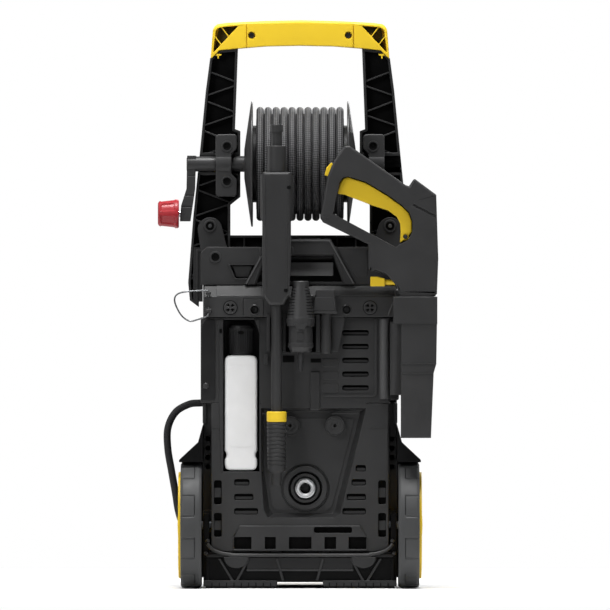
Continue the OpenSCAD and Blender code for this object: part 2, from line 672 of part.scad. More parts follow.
module lance_nozzle() color(dark) difference() {
    translate([lance_x, gun_y, 0]) rotate_extrude() polygon([[0, 155], [7.5, 155], [8.5, 172], [13.5, 177],
        [15, 247], [13, 249.6], [0, 249.6]]);
    rod_z(199.6, 260, lance_x, gun_y, lance_tube_d / 2 + gap);
    rod_z(150, 201, lance_x, gun_y, 3);
    for (i = [0 : 10]) translate([lance_x, gun_y, 183 + 6 * i]) rotate_extrude()
        translate([13.4 + i * 0.12, 0]) square([3, 2.4]);
}
module turbo_nozzle_grip() color(dark) difference() {
    translate([turbo_x, turbo_y, 0]) rotate_extrude() polygon([[5, 461], [11.5, 461], [21.5, 405],
        [20.5, 393], [5, 393]]);
    for (i = [0 : 11]) translate([turbo_x, turbo_y, 0]) rotate([0, 0, 30 * i]) translate([24, 0, 400])
        rotate([0, -10, 0]) cylinder(r = 3.4, h = 70, center = false);
}
module turbo_nozzle_body() color(dark) difference() {
    union() {
        rod_z(354, 393, turbo_x, turbo_y, 19);
        rod_z(393, 440, turbo_x, turbo_y, 5);
    }
    rod_z(350, 445, turbo_x, turbo_y, 2);
}
module turbo_stub() color("silver") difference() {
    rod_z(326, 354, turbo_x, turbo_y, 4.3);
    rod_z(320, 360, turbo_x, turbo_y, 2);
}

handle_frame();
handle_grip();
grip_screws();
bearing_cap_left();
bearing_cap_right();
bearing_cap_screws();
reel_drum();
reel_flange_left();
reel_flange_right();
hose_on_reel();
crank_arm();
crank_pin();
crank_knob();
base();
rubber_feet();
rear_cover();
upper_rear_cover();
accessory_shelf();
front_cover();
front_panel();
power_switch_knob();
switch_box();
cable_gland();
cover_screws();
fender_left();
fender_right();
axle();
axle_clips();
wheel_left();
wheel_right();
wheel_hub_left();
wheel_hub_right();
water_inlet();
inlet_filter();
pump();
motor_housing();
motor_rotor();
outlet_fitting();
connecting_hose();
detergent_bottle();
bottle_cap();
cord_hook();
holster();
gun_shell_left();
gun_shell_right();
gun_barrel();
gun_trigger();
trigger_lock();
gun_pins();
lance_release_button();
lance_handle();
lance_stub();
lance_tube();
lance_collar();
lance_nozzle();
turbo_nozzle_body();
turbo_nozzle_grip();
turbo_stub();
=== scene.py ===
"""Upright pressure washer, seen from its back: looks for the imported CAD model."""
import json
from math import cos, floor, pi, radians, sin, tau

import bmesh
import bpy
from mathutils import Matrix, Vector

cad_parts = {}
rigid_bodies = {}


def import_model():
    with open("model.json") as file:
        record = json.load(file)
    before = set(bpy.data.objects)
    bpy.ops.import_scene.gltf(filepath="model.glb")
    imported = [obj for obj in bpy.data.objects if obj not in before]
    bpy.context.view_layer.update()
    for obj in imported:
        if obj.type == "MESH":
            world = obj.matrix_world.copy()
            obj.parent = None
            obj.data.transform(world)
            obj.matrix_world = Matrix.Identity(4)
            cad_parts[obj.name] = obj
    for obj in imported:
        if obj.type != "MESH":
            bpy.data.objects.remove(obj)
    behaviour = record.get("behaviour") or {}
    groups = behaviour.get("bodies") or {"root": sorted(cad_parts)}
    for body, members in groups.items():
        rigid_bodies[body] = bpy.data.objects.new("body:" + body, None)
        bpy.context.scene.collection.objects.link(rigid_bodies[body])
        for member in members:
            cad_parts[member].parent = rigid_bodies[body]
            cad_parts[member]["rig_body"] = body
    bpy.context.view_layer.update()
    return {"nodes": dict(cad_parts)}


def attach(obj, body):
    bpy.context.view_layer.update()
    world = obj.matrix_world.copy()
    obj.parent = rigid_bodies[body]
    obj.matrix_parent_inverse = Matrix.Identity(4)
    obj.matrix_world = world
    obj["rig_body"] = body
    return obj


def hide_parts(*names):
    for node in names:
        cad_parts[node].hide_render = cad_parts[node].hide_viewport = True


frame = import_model()

MM = 0.001
# Axes and faces of the CAD model, in millimetres
AXLE = Vector((0, -90, 94.5))
REEL = Vector((0, -30, 637.5))
KNOB = Vector((0, -30, 562.5))
GUN_Y = -148
LANCE = Vector((-35, -148, 0))
TURBO = Vector((1, -151, 0))
INLET = Vector((8, 0, 150))
BOTTLE_AXIS = Vector((-88.5, -90, 0))
TYRE_RADIUS = 94
COVER_FACE = -113
HANDLE_FACE = -167
UPPER_FACE = -108
SHELF_FACE = -128


# ---- camera, light and floor ----

def in_scene(name, data):
    """A new object in the scene, with the given data."""
    obj = bpy.data.objects.new(name, data)
    bpy.context.scene.collection.objects.link(obj)
    return obj


def camera():
    """A long lens at the height of the machine's middle, looking straight at its back."""
    distance, frame_width, sensor = 20, 0.915, 36
    middle_x, middle_z = 0.0075, 0.425
    data = bpy.data.cameras.new("camera")
    data.sensor_width = sensor
    data.lens = sensor * distance / frame_width
    data.clip_end = 50
    obj = in_scene("camera", data)
    obj.location = (middle_x, COVER_FACE * MM - distance, middle_z)
    obj.rotation_euler = (pi / 2, 0, 0)
    bpy.context.scene.camera = obj


def area_light(name, place, target, size, power):
    data = bpy.data.lights.new(name, "AREA")
    data.shape = "RECTANGLE"
    data.size, data.size_y = size
    data.energy = power
    obj = in_scene(name, data)
    obj.location = place
    obj.rotation_euler = (Vector(target) - Vector(place)).to_track_quat("-Z", "Y").to_euler()


def studio():
    """Soft lights, a pale floor, and a world that is white to the camera and dim as a light."""
    centre = (0, 0, 0.45)
    for name, place, size, power in (
            ("key_light", (-1.9, -2.9, 2.0), (1.2, 1.2), 46), ("fill_light", (2.6, -2.8, 1.0), (2.0, 2.0), 9),
            ("top_light", (0, -0.62, 2.9), (1.6, 0.8), 120), ("left_edge_light", (-2.4, 1.0, 1.5), (0.8, 2.0), 26),
            ("right_edge_light", (2.4, 1.2, 1.5), (0.8, 2.0), 22), ("front_light", (0.6, 3.4, 1.8), (2.0, 2.0), 45)):
        area_light(name, place, centre, size, power)
    world = bpy.data.worlds.new("studio")
    world.use_nodes = True
    tree = world.node_tree
    dim, white = tree.nodes["Background"], tree.nodes.new("ShaderNodeBackground")
    for background, strength in ((dim, 0.14), (white, 1.0)):
        background.inputs["Color"].default_value = (1, 1, 1, 1)
        background.inputs["Strength"].default_value = strength
    rays = tree.nodes.new("ShaderNodeLightPath")
    mix = tree.nodes.new("ShaderNodeMixShader")
    surface = tree.nodes["World Output"].inputs["Surface"]
    for source, target in ((rays.outputs["Is Camera Ray"], mix.inputs["Fac"]), (dim.outputs[0], mix.inputs[1]),
                           (white.outputs[0], mix.inputs[2]), (mix.outputs[0], surface)):
        tree.links.new(source, target)
    bpy.context.scene.world = world
    bpy.context.scene.view_settings.view_transform = "Standard"
    bm = bmesh.new()
    bmesh.ops.create_grid(bm, x_segments=8, y_segments=8, size=1.3)
    ground = mesh_object("studio_floor", bm)
    ground.data.materials.append(floor_material())


# ---- materials ----

def shader(name, **values):
    """A material and its Principled shader, with values for the shader's sockets."""
    material = bpy.data.materials.new(name)
    material.use_nodes = True
    principled = material.node_tree.nodes["Principled BSDF"]
    for socket, value in values.items():
        principled.inputs[socket.replace("_", " ")].default_value = value
    return material, principled


def node(material, kind, **values):
    made = material.node_tree.nodes.new(kind)
    for key, value in values.items():
        setattr(made, key, value)
    return made


def link(material, source, target):
    material.node_tree.links.new(source, target)


def noise(material, scale, detail=3.0, roughness=0.55):
    """A noise texture on the object's own coordinates; scale is features per metre."""
    place = node(material, "ShaderNodeTexCoord")
    texture = node(material, "ShaderNodeTexNoise")
    texture.inputs["Scale"].default_value = scale
    texture.inputs["Detail"].default_value = detail
    texture.inputs["Roughness"].default_value = roughness
    link(material, place.outputs["Object"], texture.inputs["Vector"])
    return texture.outputs["Fac"]


def tone(material, principled, source, low, high, colours):
    """Colours the shader by source, from one colour at low to the other at high."""
    made = node(material, "ShaderNodeValToRGB")
    made.color_ramp.elements[0].position = low
    made.color_ramp.elements[1].position = high
    for element, colour in zip(made.color_ramp.elements, colours):
        element.color = (*colour, 1)
    link(material, source, made.inputs["Fac"])
    link(material, made.outputs["Color"], principled.inputs["Base Color"])


def spread(material, source, low, high, out_low, out_high):
    made = node(material, "ShaderNodeMapRange")
    for socket, value in zip(("From Min", "From Max", "To Min", "To Max"), (low, high, out_low, out_high)):
        made.inputs[socket].default_value = value
    link(material, source, made.inputs["Value"])
    return made.outputs["Result"]


def gloss(material, principled, source, least, most):
    """Lets the shader's roughness follow source."""
    link(material, spread(material, source, 0.3, 0.7, least, most), principled.inputs["Roughness"])


def bump(material, principled, height, strength, distance):
    made = node(material, "ShaderNodeBump")
    made.inputs["Strength"].default_value = strength
    made.inputs["Distance"].default_value = distance
    link(material, height, made.inputs["Height"])
    link(material, made.outputs["Normal"], principled.inputs["Normal"])


def maths(material, operation, *values):
    """A math node; each value is a number, or a socket to link."""
    made = node(material, "ShaderNodeMath", operation=operation)
    for socket, value in zip(made.inputs, values):
        if isinstance(value, (int, float)):
            socket.default_value = value
        else:
            link(material, value, socket)
    return made.outputs[0]


def tint(colour, factor):
    return tuple(min(1, c * factor) for c in colour)


def moulded(name, colour, rough=0.5, grain=1400, depth=0.00012, strength=0.35, variation=0.12, coat=0.0,
            specular=0.25):
    """Moulded plastic: a spark-eroded grain, and slow changes of tone and gloss."""
    material, principled = shader(name, Roughness=rough, Coat_Weight=coat, Specular_IOR_Level=specular)
    tone(material, principled, noise(material, 14, 4), 0.3, 0.7,
         (tint(colour, 1 - variation), tint(colour, 1 + variation)))
    gloss(material, principled, noise(material, 45, 5), rough - 0.06, rough + 0.06)
    bump(material, principled, noise(material, grain, 2, 0.6), strength, depth)
    return material


def metal(name, colour, rough=0.3, grain=900, metallic=1.0):
    """Turned or plated metal, with fine scratches and blotches of gloss."""
    material, principled = shader(name, Metallic=metallic)
    tone(material, principled, noise(material, 60, 6), 0.3, 0.75, (tint(colour, 0.85), tint(colour, 1.05)))
    gloss(material, principled, noise(material, 120, 6), rough - 0.08, rough + 0.1)
    bump(material, principled, noise(material, grain, 3), 0.12, 0.00005)
    return material


def braided_hose(name, colour):
    """A rubber hose whose braid shows through: crossed spirals in the tube's own UV."""
    strands_round, crossings_per_metre = 5, 150
    material, principled = shader(name, Roughness=0.5, Specular_IOR_Level=0.25)
    place = node(material, "ShaderNodeTexCoord")
    split = node(material, "ShaderNodeSeparateXYZ")
    link(material, place.outputs["UV"], split.inputs["Vector"])
    waves = []
    for way in (1, -1):
        turn = maths(material, "MULTIPLY", split.outputs["X"], way * tau * strands_round)
        along = maths(material, "MULTIPLY_ADD", split.outputs["Y"], tau * crossings_per_metre, turn)
        waves.append(maths(material, "SINE", along))
    weave = maths(material, "MULTIPLY", *waves)
    tone(material, principled, spread(material, weave, -1, 1, 0, 1), 0.2, 0.85, (tint(colour, 0.2), tint(colour, 3.6)))
    bump(material, principled, weave, 0.7, 0.0005)
    return material


def bottle_plastic(name):
    """Natural polyethylene: milky white, with a soft gloss."""
    material, principled = shader(name, Roughness=0.34, Coat_Weight=0.1)
    tone(material, principled, noise(material, 20, 4), 0.3, 0.7, ((0.66, 0.66, 0.66), (0.72, 0.72, 0.72)))
    bump(material, principled, noise(material, 260, 3), 0.15, 0.0002)
    return material


def floor_material():
    material, principled = shader("studio_floor", Roughness=0.8)
    tone(material, principled, noise(material, 3, 3), 0.3, 0.7, ((0.86, 0.86, 0.86), (0.9, 0.9, 0.9)))
    return material


GREY = moulded("grey_plastic", (0.0245, 0.0245, 0.025), 0.46)
GREY_SMOOTH = moulded("grey_smooth_plastic", (0.031, 0.031, 0.0315), 0.34, 900, 0.00006, 0.2)
BLACK = moulded("black_plastic", (0.0030, 0.0030, 0.0032), 0.40, 1100, 0.0001, 0.3, specular=0.08)
DARK = moulded("dark_grey_plastic", (0.011, 0.011, 0.0115), 0.42, 1100, 0.0001, 0.3, specular=0.2)
# A lighter grey for painted highlights: lit edges, the side post, and the hand recess's lit floor.
HIGHLIGHT_GREY = moulded("grey_painted_highlight", (0.072, 0.072, 0.073), 0.36, 900, 0.00006, 0.2)
# A lighter black for the painted highlight on the back-facing edges of ribs.
RIB_HIGHLIGHT = moulded("rib_painted_highlight", (0.019, 0.019, 0.0195), 0.42, 900, 0.0001, 0.3)
YELLOW = moulded("yellow_plastic", (0.68, 0.465, 0.022), 0.42, 1200, 0.0001, 0.3, 0.03)
# Yellow darkened as painted shade, for the floors of the grip's corner pockets.
POCKET_SHADE_YELLOW = moulded("yellow_pocket_painted_shade", (0.070, 0.066, 0.012), 0.5, 1200, 0.0001, 0.3, 0.08)
RED = moulded("red_plastic", (0.30, 0.020, 0.026), 0.38, 900, 0.0001, 0.25, 0.08, 0.1)
TYRE = moulded("tyre_rubber", (0.040, 0.041, 0.042), 0.55, 700, 0.0002, 0.4)
RUBBER = moulded("black_rubber", (0.010, 0.010, 0.011), 0.65, 600, 0.0003, 0.4)
# Near-black for painted shade: plates and discs set behind openings, in holes, gaps and recesses.
PAINTED_SHADE = moulded("painted_shade_black", (0.0015, 0.0015, 0.0015), 0.6, specular=0.05)
HOSE = braided_hose("braided_hose", (0.026, 0.026, 0.027))
SILVER = metal("silver_fitting", (0.80, 0.81, 0.82), 0.34)
STEEL = metal("zinc_steel", (0.60, 0.61, 0.63), 0.28)
WIRE = metal("dark_wire", (0.16, 0.165, 0.17), 0.35)
# Black screws and pins; on screws deep in their holes this black is also painted shade.
SCREW_BLACK_AND_SHADE = metal("black_screw_and_painted_shade", (0.010, 0.010, 0.011), 0.5, 900, 0.0)
ALLOY = metal("die_cast_alloy", (0.50, 0.51, 0.53), 0.45, 500)
MOTOR = metal("motor_steel", (0.20, 0.21, 0.23), 0.5, 500)
BOTTLE = bottle_plastic("bottle_polyethylene")
SWITCH = moulded("switch_plastic", (0.2, 0.21, 0.22), 0.5)


# ---- mesh tools; outlines are in millimetres ----

def mesh_object(name, bm):
    mesh = bpy.data.meshes.new(name)
    bmesh.ops.recalc_face_normals(bm, faces=bm.faces)
    bm.to_mesh(mesh)
    bm.free()
    return in_scene(name, mesh)


def bridge(bm, first, second, uv=None, heights=(0, 0)):
    """Faces between two rings of points. UV: X once round, Y from one height to the other."""
    count = len(first)
    for i in range(count):
        j = (i + 1) % count
        face = bm.faces.new((first[i], first[j], second[j], second[i]))
        if uv:
            for loop, (a, b) in zip(face.loops, ((i, 0), (i + 1, 0), (i + 1, 1), (i, 1))):
                loop[uv].uv = (a / count, heights[b])


def prism(name, outline, near, far, plane="XZ"):
    """An outline in one plane, extruded across it from near to far."""
    spot = {"XZ": lambda a, b, c: (a, c, b), "YZ": lambda a, b, c: (c, a, b), "XY": lambda a, b, c: (a, b, c)}[plane]
    bm = bmesh.new()
    rings = [[bm.verts.new(Vector(spot(a, b, level)) * MM) for a, b in outline] for level in (near, far)]
    bm.faces.new(rings[0])
    bm.faces.new(rings[1])
    bridge(bm, *rings)
    return mesh_object(name, bm)


def rectangle(x0, z0, x1, z1):
    return [(x0, z0), (x1, z0), (x1, z1), (x0, z1)]


def block(name, low, high):
    return prism(name, rectangle(low[0], low[2], high[0], high[2]), low[1], high[1])


def round_rect(x0, z0, x1, z1, radius):
    """A rectangle with round corners, as a list of points."""
    steps = 6
    points = []
    corners = ((x1 - radius, z1 - radius, 0), (x0 + radius, z1 - radius, 1),
               (x0 + radius, z0 + radius, 2), (x1 - radius, z0 + radius, 3))
    for x, z, quarter in corners:
        for i in range(steps + 1):
            angle = (quarter + i / steps) * pi / 2
            points.append((x + radius * cos(angle), z + radius * sin(angle)))
    return points


def rounded_corners(outline, radius, steps=5):
    """The outline with each corner replaced by a curve that starts at most radius from it."""
    points = []
    count = len(outline)
    for i, corner in enumerate(outline):
        corner = Vector(corner)
        before, after = Vector(outline[i - 1]), Vector(outline[(i + 1) % count])
        ways = [(other - corner) for other in (before, after)]
        reach = min(radius, *(way.length * 0.45 for way in ways))
        start, end = (corner + way.normalized() * reach for way in ways)
        for k in range(steps + 1):
            t = k / steps
            points.append(tuple(start.lerp(corner, t).lerp(corner.lerp(end, t), t)))
    return points


def lathe(name, profile, centre, axis="Z", steps=64, warp=None):
    """Turns (radius, height) points about an axis through centre. A profile that starts and ends off the axis closes
    into a ring. warp(radius, height, angle) may change a radius."""
    off_axis, widest_point = 1, 0.05
    turn = {"Z": lambda u, v, h: (u, v, h), "X": lambda u, v, h: (h, u, v), "Y": lambda u, v, h: (v, h, u)}[axis]
    bm = bmesh.new()
    uv = bm.loops.layers.uv.new("UVMap")
    rings = []
    for radius, height in profile:
        ring = []
        for i in range(steps):
            angle = tau * i / steps
            r = warp(radius, height, angle) if warp else radius
            ring.append(bm.verts.new((Vector(turn(r * cos(angle), r * sin(angle), height)) + centre) * MM))
        rings.append(ring)
    for k in range(len(rings) - 1):
        bridge(bm, rings[k], rings[k + 1], uv, (k / len(rings), (k + 1) / len(rings)))
    if len(profile) > 2 and min(profile[0][0], profile[-1][0]) > off_axis:
        bridge(bm, rings[-1], rings[0])
    else:
        for ring, (radius, _) in zip((rings[0], rings[-1]), (profile[0], profile[-1])):
            if radius > widest_point:
                bm.faces.new(ring)
    bmesh.ops.remove_doubles(bm, verts=bm.verts, dist=1e-6)
    return mesh_object(name, bm)


def sweep(name, path, radius, sides=16):
    """A round tube along a path in millimetres. UV: X once round, Y metres along."""
    bm = bmesh.new()
    uv = bm.loops.layers.uv.new("UVMap")
    path = [Vector(p) for p in path]
    rings, lengths, run = [], [], 0.0
    side = None
    for i, point in enumerate(path):
        heading = (path[min(i + 1, len(path) - 1)] - path[max(i - 1, 0)]).normalized()
        if side is None:
            side = heading.orthogonal().normalized()
        side = (side - heading * side.dot(heading)).normalized()
        up = heading.cross(side)
        rings.append([bm.verts.new((point + (side * cos(tau * k / sides) + up * sin(tau * k / sides)) * radius) * MM)
                      for k in range(sides)])
        if i:
            run += (point - path[i - 1]).length * MM
        lengths.append(run)
    for i in range(len(rings) - 1):
        bridge(bm, rings[i], rings[i + 1], uv, lengths[i:i + 2])
    bm.faces.new(rings[0])
    bm.faces.new(rings[-1])
    return mesh_object(name, bm)


def smooth_path(points, steps=8):
    """A Catmull-Rom curve through the points."""
    points = [Vector(p) for p in points]
    last = len(points) - 1
    path = []
    for i in range(last):
        a, b, c, d = (points[k] for k in (max(i - 1, 0), i, i + 1, min(i + 2, last)))
        for k in range(steps):
            t = k / steps
            path.append(0.5 * (2 * b + (c - a) * t + (2 * a - 5 * b + 4 * c - d) * t * t
                               + (3 * b - a - 3 * c + d) * t ** 3))
    return path + [points[-1]]


def bake(obj):
    """Applies the modifiers of obj."""
    graph = bpy.context.evaluated_depsgraph_get()
    mesh = bpy.data.meshes.new_from_object(obj.evaluated_get(graph))
    obj.modifiers.clear()
    obj.data = mesh
    return obj


def carve(obj, *cutters):
    for cutter in cutters:
        modifier = obj.modifiers.new("cut", "BOOLEAN")
        modifier.operation = "DIFFERENCE"
        modifier.solver = "EXACT"
        modifier.object = cutter
        bpy.context.view_layer.update()
        bake(obj)
        bpy.data.objects.remove(cutter)
    return obj


def join(name, parts):
    """Puts several meshes in one object, each with its own material."""
    bm = bmesh.new()
    materials = []
    for part in parts:
        offset = len(bm.faces)
        bm.from_mesh(part.data)
        bm.faces.ensure_lookup_table()
        slots = list(part.data.materials)
        for face in bm.faces[offset:]:
            material = slots[face.material_index] if slots else None
            if material not in materials:
                materials.append(material)
            face.material_index = materials.index(material)
        bpy.data.objects.remove(part)
    mesh = bpy.data.meshes.new(name)
    bm.to_mesh(mesh)
    bm.free()
    for material in materials:
        mesh.materials.append(material)
    return in_scene(name, mesh)


def round_edges(obj, width, segments=2, where=None, angle=35):
    """Cleans a mesh and rounds its sharp edges; width is in millimetres. where(a, b), given an edge's ends in
    millimetres, picks the edges. A rounding that spoils the mesh is tried again at half and at a quarter of the width,
    and then left out."""
    clean = bmesh.new()
    clean.from_mesh(obj.data)
    bmesh.ops.remove_doubles(clean, verts=clean.verts, dist=1e-5)
    bmesh.ops.dissolve_limit(clean, angle_limit=radians(0.5), verts=clean.verts, edges=clean.edges)
    bmesh.ops.triangulate(clean, faces=[f for f in clean.faces if len(f.verts) > 4])
    clean.to_mesh(obj.data)
    size, volume = extent(clean), clean.calc_volume()
    volume_slack, size_slack = 0.05 * abs(volume), 0.02 * MM
    clean.free()
    for part in (1, 0.5, 0.25):
        bm = bmesh.new()
        bm.from_mesh(obj.data)
        sharp = [e for e in bm.edges if len(e.link_faces) == 2 and e.calc_face_angle(0) > radians(angle)
                 and (where is None or where(e.verts[0].co / MM, e.verts[1].co / MM))]
        bmesh.ops.bevel(bm, geom=sharp, offset=width * part * MM, segments=segments, profile=0.5,
                        affect="EDGES", clamp_overlap=False)
        good = abs(bm.calc_volume() - volume) < volume_slack and extent(bm) < size + size_slack
        if good:
            bm.to_mesh(obj.data)
        bm.free()
        if good:
            break
    return shade(obj)


def extent(bm):
    """The sum of a mesh's three sizes, which a bad rounding makes larger."""
    return sum(max(v.co[k] for v in bm.verts) - min(v.co[k] for v in bm.verts) for k in range(3))


def shade(obj, angle=35):
    for polygon in obj.data.polygons:
        polygon.use_smooth = True
    obj.data.set_sharp_from_angle(angle=radians(angle))
    return obj


def flatten(obj):
    """Keeps flat faces flat beside rounded edges."""
    modifier = obj.modifiers.new("flat_faces", "WEIGHTED_NORMAL")
    modifier.keep_sharp = True
    bpy.context.view_layer.update()
    return bake(obj)


def paint(obj, material):
    obj.data.materials.clear()
    obj.data.materials.append(material)
    return obj


def place(obj, body, material=None, replaces=()):
    """Fixes a finished piece to a body of the CAD model."""
    if material:
        paint(obj, material)
    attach(obj, body)
    if replaces:
        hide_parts(*replaces)
    flatten(obj)
    return obj


def copy_of(cad_node):
    """A free copy of a CAD node's mesh."""
    obj = in_scene(f"{cad_node}_shell", frame["nodes"][cad_node].data.copy())
    obj.data.materials.clear()
    return obj


def softened(cad_node, material, width=0.6, segments=2, cutters=(), extras=(), where=None):
    """Stands for a CAD node: its shape with cutters taken off, its edges rounded as a moulding's are, and
    extras, which are finished meshes with their own materials, joined to it."""
    obj = carve(copy_of(cad_node), *cutters)
    round_edges(obj, width, segments, where)
    paint(obj, material)
    body = frame["nodes"][cad_node]["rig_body"]
    if extras:
        obj = join(obj.name + "_detailed", [obj, *extras])
    return place(obj, body, None, [cad_node])


def keep(cad_node, material):
    """Shows a CAD node as it is, with a better material."""
    node_object = frame["nodes"][cad_node]
    if not node_object.material_slots:
        node_object.data.materials.append(material)
    for material_slot in node_object.material_slots:
        material_slot.material = material


def finished(obj, material, width=0.8, segments=2, where=None):
    """A rounded and painted mesh, ready to be an extra."""
    round_edges(obj, width, segments, where)
    return paint(obj, material)


def in_front(y):
    """Picks the edges with an end nearer to the machine's back face than y."""
    return lambda a, b: min(a.y, b.y) < y


def paint_faces(obj, material, chosen):
    """Gives a second material to the faces for which chosen(centre in mm, normal) is true."""
    obj.data.materials.append(material)
    index = len(obj.data.materials) - 1
    for polygon in obj.data.polygons:
        if chosen(polygon.center / MM, polygon.normal):
            polygon.material_index = index


def turned(name, profile, x, z, material, steps=32):
    """A painted detail turned about an axis along Y."""
    return paint(shade(lathe(name, profile, Vector((x, 0, z)), "Y", steps)), material)


def mirrored(outline, sign):
    return [(sign * x, z) for x, z in outline]


def rod(name, radius, start, end, steps=32):
    """A round bar between two points that differ along one axis."""
    start, end = Vector(start), Vector(end)
    way = end - start
    axis = "XYZ"[max(range(3), key=lambda k: abs(way[k]))]
    length = way["XYZ".index(axis)]
    return lathe(name, [(radius, min(0, length)), (radius, max(0, length))], start, axis, steps)


def ridge(name, points, width, near, far, closed=False):
    """A raised line of the given width that follows points in X and Z."""
    points = [Vector(p) for p in points]
    count = len(points)
    left, right = [], []
    for i, point in enumerate(points):
        before = points[i - 1] if i or closed else point
        after = points[(i + 1) % count] if i + 1 < count or closed else point
        normals = []
        for a, b in ((before, point), (point, after)):
            if (b - a).length > 1e-6:
                way = (b - a).normalized()
                normals.append(Vector((-way.y, way.x)))
        normal = sum(normals, Vector((0, 0))).normalized()
        reach = width / 2 / max(0.5, normal.dot(normals[0]))
        left.append(tuple(point + normal * reach))
        right.append(tuple(point - normal * reach))
    if not closed:
        return prism(name, left + right[::-1], near, far)
    outer = prism(name, left, near, far)
    return carve(outer, prism("inner", right, near - 1, far + 1))


# ---- handle and grip ----

def lit_rib_faces(centre, normal):
    """The back-facing edges of ribs and flanges, which get a painted highlight, lighter than the plastic."""
    return normal.y < -0.6 and centre.y < -27


def handle():
    webs = []
    for side in (1, -1):
        low, high = sorted((side * 146.5, side * 161))
        webs.append(finished(block("leg_web", (low, -29, 430), (high, -26, 512)), BLACK, 0.5))
    # The ribs' back-facing edges get a painted highlight.
    paint_faces(softened("handle_frame", BLACK, 0.5, 1, extras=webs), RIB_HIGHLIGHT, lit_rib_faces)


def grip():
    half = [(0, 854), (60, 852.5), (110, 850), (124, 848), (131, 843), (134.6, 797.5), (133, 796.6),
            (121.5, 808.5), (93.5, 811.5), (50, 815), (0, 816)]
    body = prism("grip", half + mirrored(half[1:-1], -1)[::-1], -33, 8)
    round_edges(body, 5, 4, lambda a, b: a.z > 830 and b.z > 830 and abs(a.x) > 122 or
                (min(a.z, b.z) > 840 and abs(a.y - b.y) < 0.1))
    cutters = []
    for side in (1, -1):
        pocket = rounded_corners(mirrored([(92.5, 845.6), (121, 843.2), (126.6, 838.5), (131, 804.5)], side), 3)
        screw_x, seam_x = side * 72.8, side * 80.5
        cutters += [prism("corner_pocket", pocket, -34, -12),
                    rod("screw_hole", 5.4, (screw_x, -34, 831), (screw_x, -27, 831)),
                    block("seam", (seam_x - 0.4, -34, 800), (seam_x + 0.4, -32.4, 860)),
                    block("top_seam", (seam_x - 0.4, -34, 852.6), (seam_x + 0.4, 10, 860))]
    carve(body, *cutters)
    round_edges(body, 1.0, 2, lambda a, b: a.z < 853 and min(a.y, b.y) < -20)
    extras = [paint(body, YELLOW)]
    barb = [(118, 803), (126.5, 803.5), (127.5, 801), (124.8, 800.4), (124.2, 796), (122.4, 796), (122, 800.4),
            (118.6, 800.8)]
    for side in (1, -1):
        for x, z in ((106.5, 828), (117.5, 815.5)):
            ends = mirrored([(x, z), (x + 12, z + 16)], side)
            extras.append(finished(ridge("pocket_rib", ends, 1.6, -31.5, -12), YELLOW, 0.3))
        # The pocket floors are painted shade: yellow darkened where the pockets lie in shadow.
        pocket_floor = mirrored([(92, 844), (122, 843), (129, 806)], side)
        extras += [finished(prism("grip_barb", mirrored(barb, side), -31.5, -26), YELLOW, 0.4),
                   paint(prism("pocket_floor", pocket_floor, -13.2, -12.4), POCKET_SHADE_YELLOW)]
    place(shade(join("handle_grip_moulded", extras)), "frame", None, ["handle_grip"])
    # The grip's screws sit deep in their holes; their black is partly painted shade.
    softened("grip_screws", SCREW_BLACK_AND_SHADE, 0.4)


# ---- hose reel and crank ----

def screw_hole(x, z, radius, face):
    """The mouth of a deep screw hole, with the screw's head far down in it: a near-black disc of painted shade."""
    return turned("hole_mouth", [(0.1, face + 0.9), (2.2, face + 0.9), (2.4, face + 1.1), (radius, face + 0.3),
                                 (radius, face + 1.8), (0.1, face + 1.8)], x, z, PAINTED_SHADE)


def bearing_caps():
    for cad_node, x in (("bearing_cap_left", -110), ("bearing_cap_right", 110)):
        rims = []
        for z in (664, 611):
            rims += [turned("screw_rim", [(6.1, -46), (6.1, -48.9), (8, -48.9), (8.8, -46)], x, z, GREY_SMOOTH),
                     screw_hole(x, z, 6.2, -48.8)]
        softened(cad_node, GREY_SMOOTH, 1.6, 3, extras=rims)
    softened("bearing_cap_screws", STEEL, 0.4)


def reel():
    softened("reel_drum", GREY, 0.5)
    swap_x_and_y = Matrix(((0, 1, 0, 0), (1, 0, 0, 0), (0, 0, 1, 0), (0, 0, 0, 1)))
    rib_count = 12
    for cad_node, side in (("reel_flange_left", -1), ("reel_flange_right", 1)):
        ribs = []
        for i in range(rib_count):
            outline = [(radius, side * x) for radius, x in ((24, 83.4), (86, 74.8), (86, 73), (24, 73))]
            rib = prism("flange_rib", outline, -1.1, 1.1, "XY")
            rib.data.transform(Matrix.Translation(REEL * MM) @ Matrix.Rotation(tau * i / rib_count, 4, "X")
                               @ swap_x_and_y)
            ribs.append(finished(rib, GREY_SMOOTH, 0.3))
        softened(cad_node, GREY_SMOOTH, 0.7, extras=ribs)
    wound_hose()


def wound_hose():
    """An outer layer of eleven turns side by side over an inner layer of ten. Each turn crosses to the next on the
    reel's front, away from the camera."""
    turns, pitch, steps, crossing_share = 11, 12, 72, 0.2
    hose_radius, dive_depth, dives_per_turn = 5.72, 9, 12
    layers = []
    for name, radius, way, count, first in (("outer_layer", 80.25, 1, turns, -60),
                                            ("inner_layer", 70.0, -1, turns - 1, -54)):
        path = []
        for i in range(count * steps + 1):
            turn = i / steps
            crossing = max(0, (turn % 1 - (1 - crossing_share)) / crossing_share)
            share = floor(turn) + crossing * crossing * (3 - 2 * crossing)
            dive = max(0, 1 - min(turn, count - turn) * dives_per_turn)
            x = min(first + pitch * share, first + pitch * (count - 1))
            angle = way * tau * turn
            reach = radius - dive_depth * dive * dive
            path.append(REEL + Vector((x, cos(angle) * reach, sin(angle) * reach)))
        layers.append(paint(sweep(name, path, hose_radius, 14), HOSE))
    # The core under the turns is painted shade, dark where it shows between the turns.
    core = paint(lathe("wound_core", [(58, -66), (68, -66), (68, 66), (58, 66)], REEL, "X", 64), PAINTED_SHADE)
    place(shade(join("wound_hose", layers + [core]), 50), "reel", None, ["hose_on_reel"])


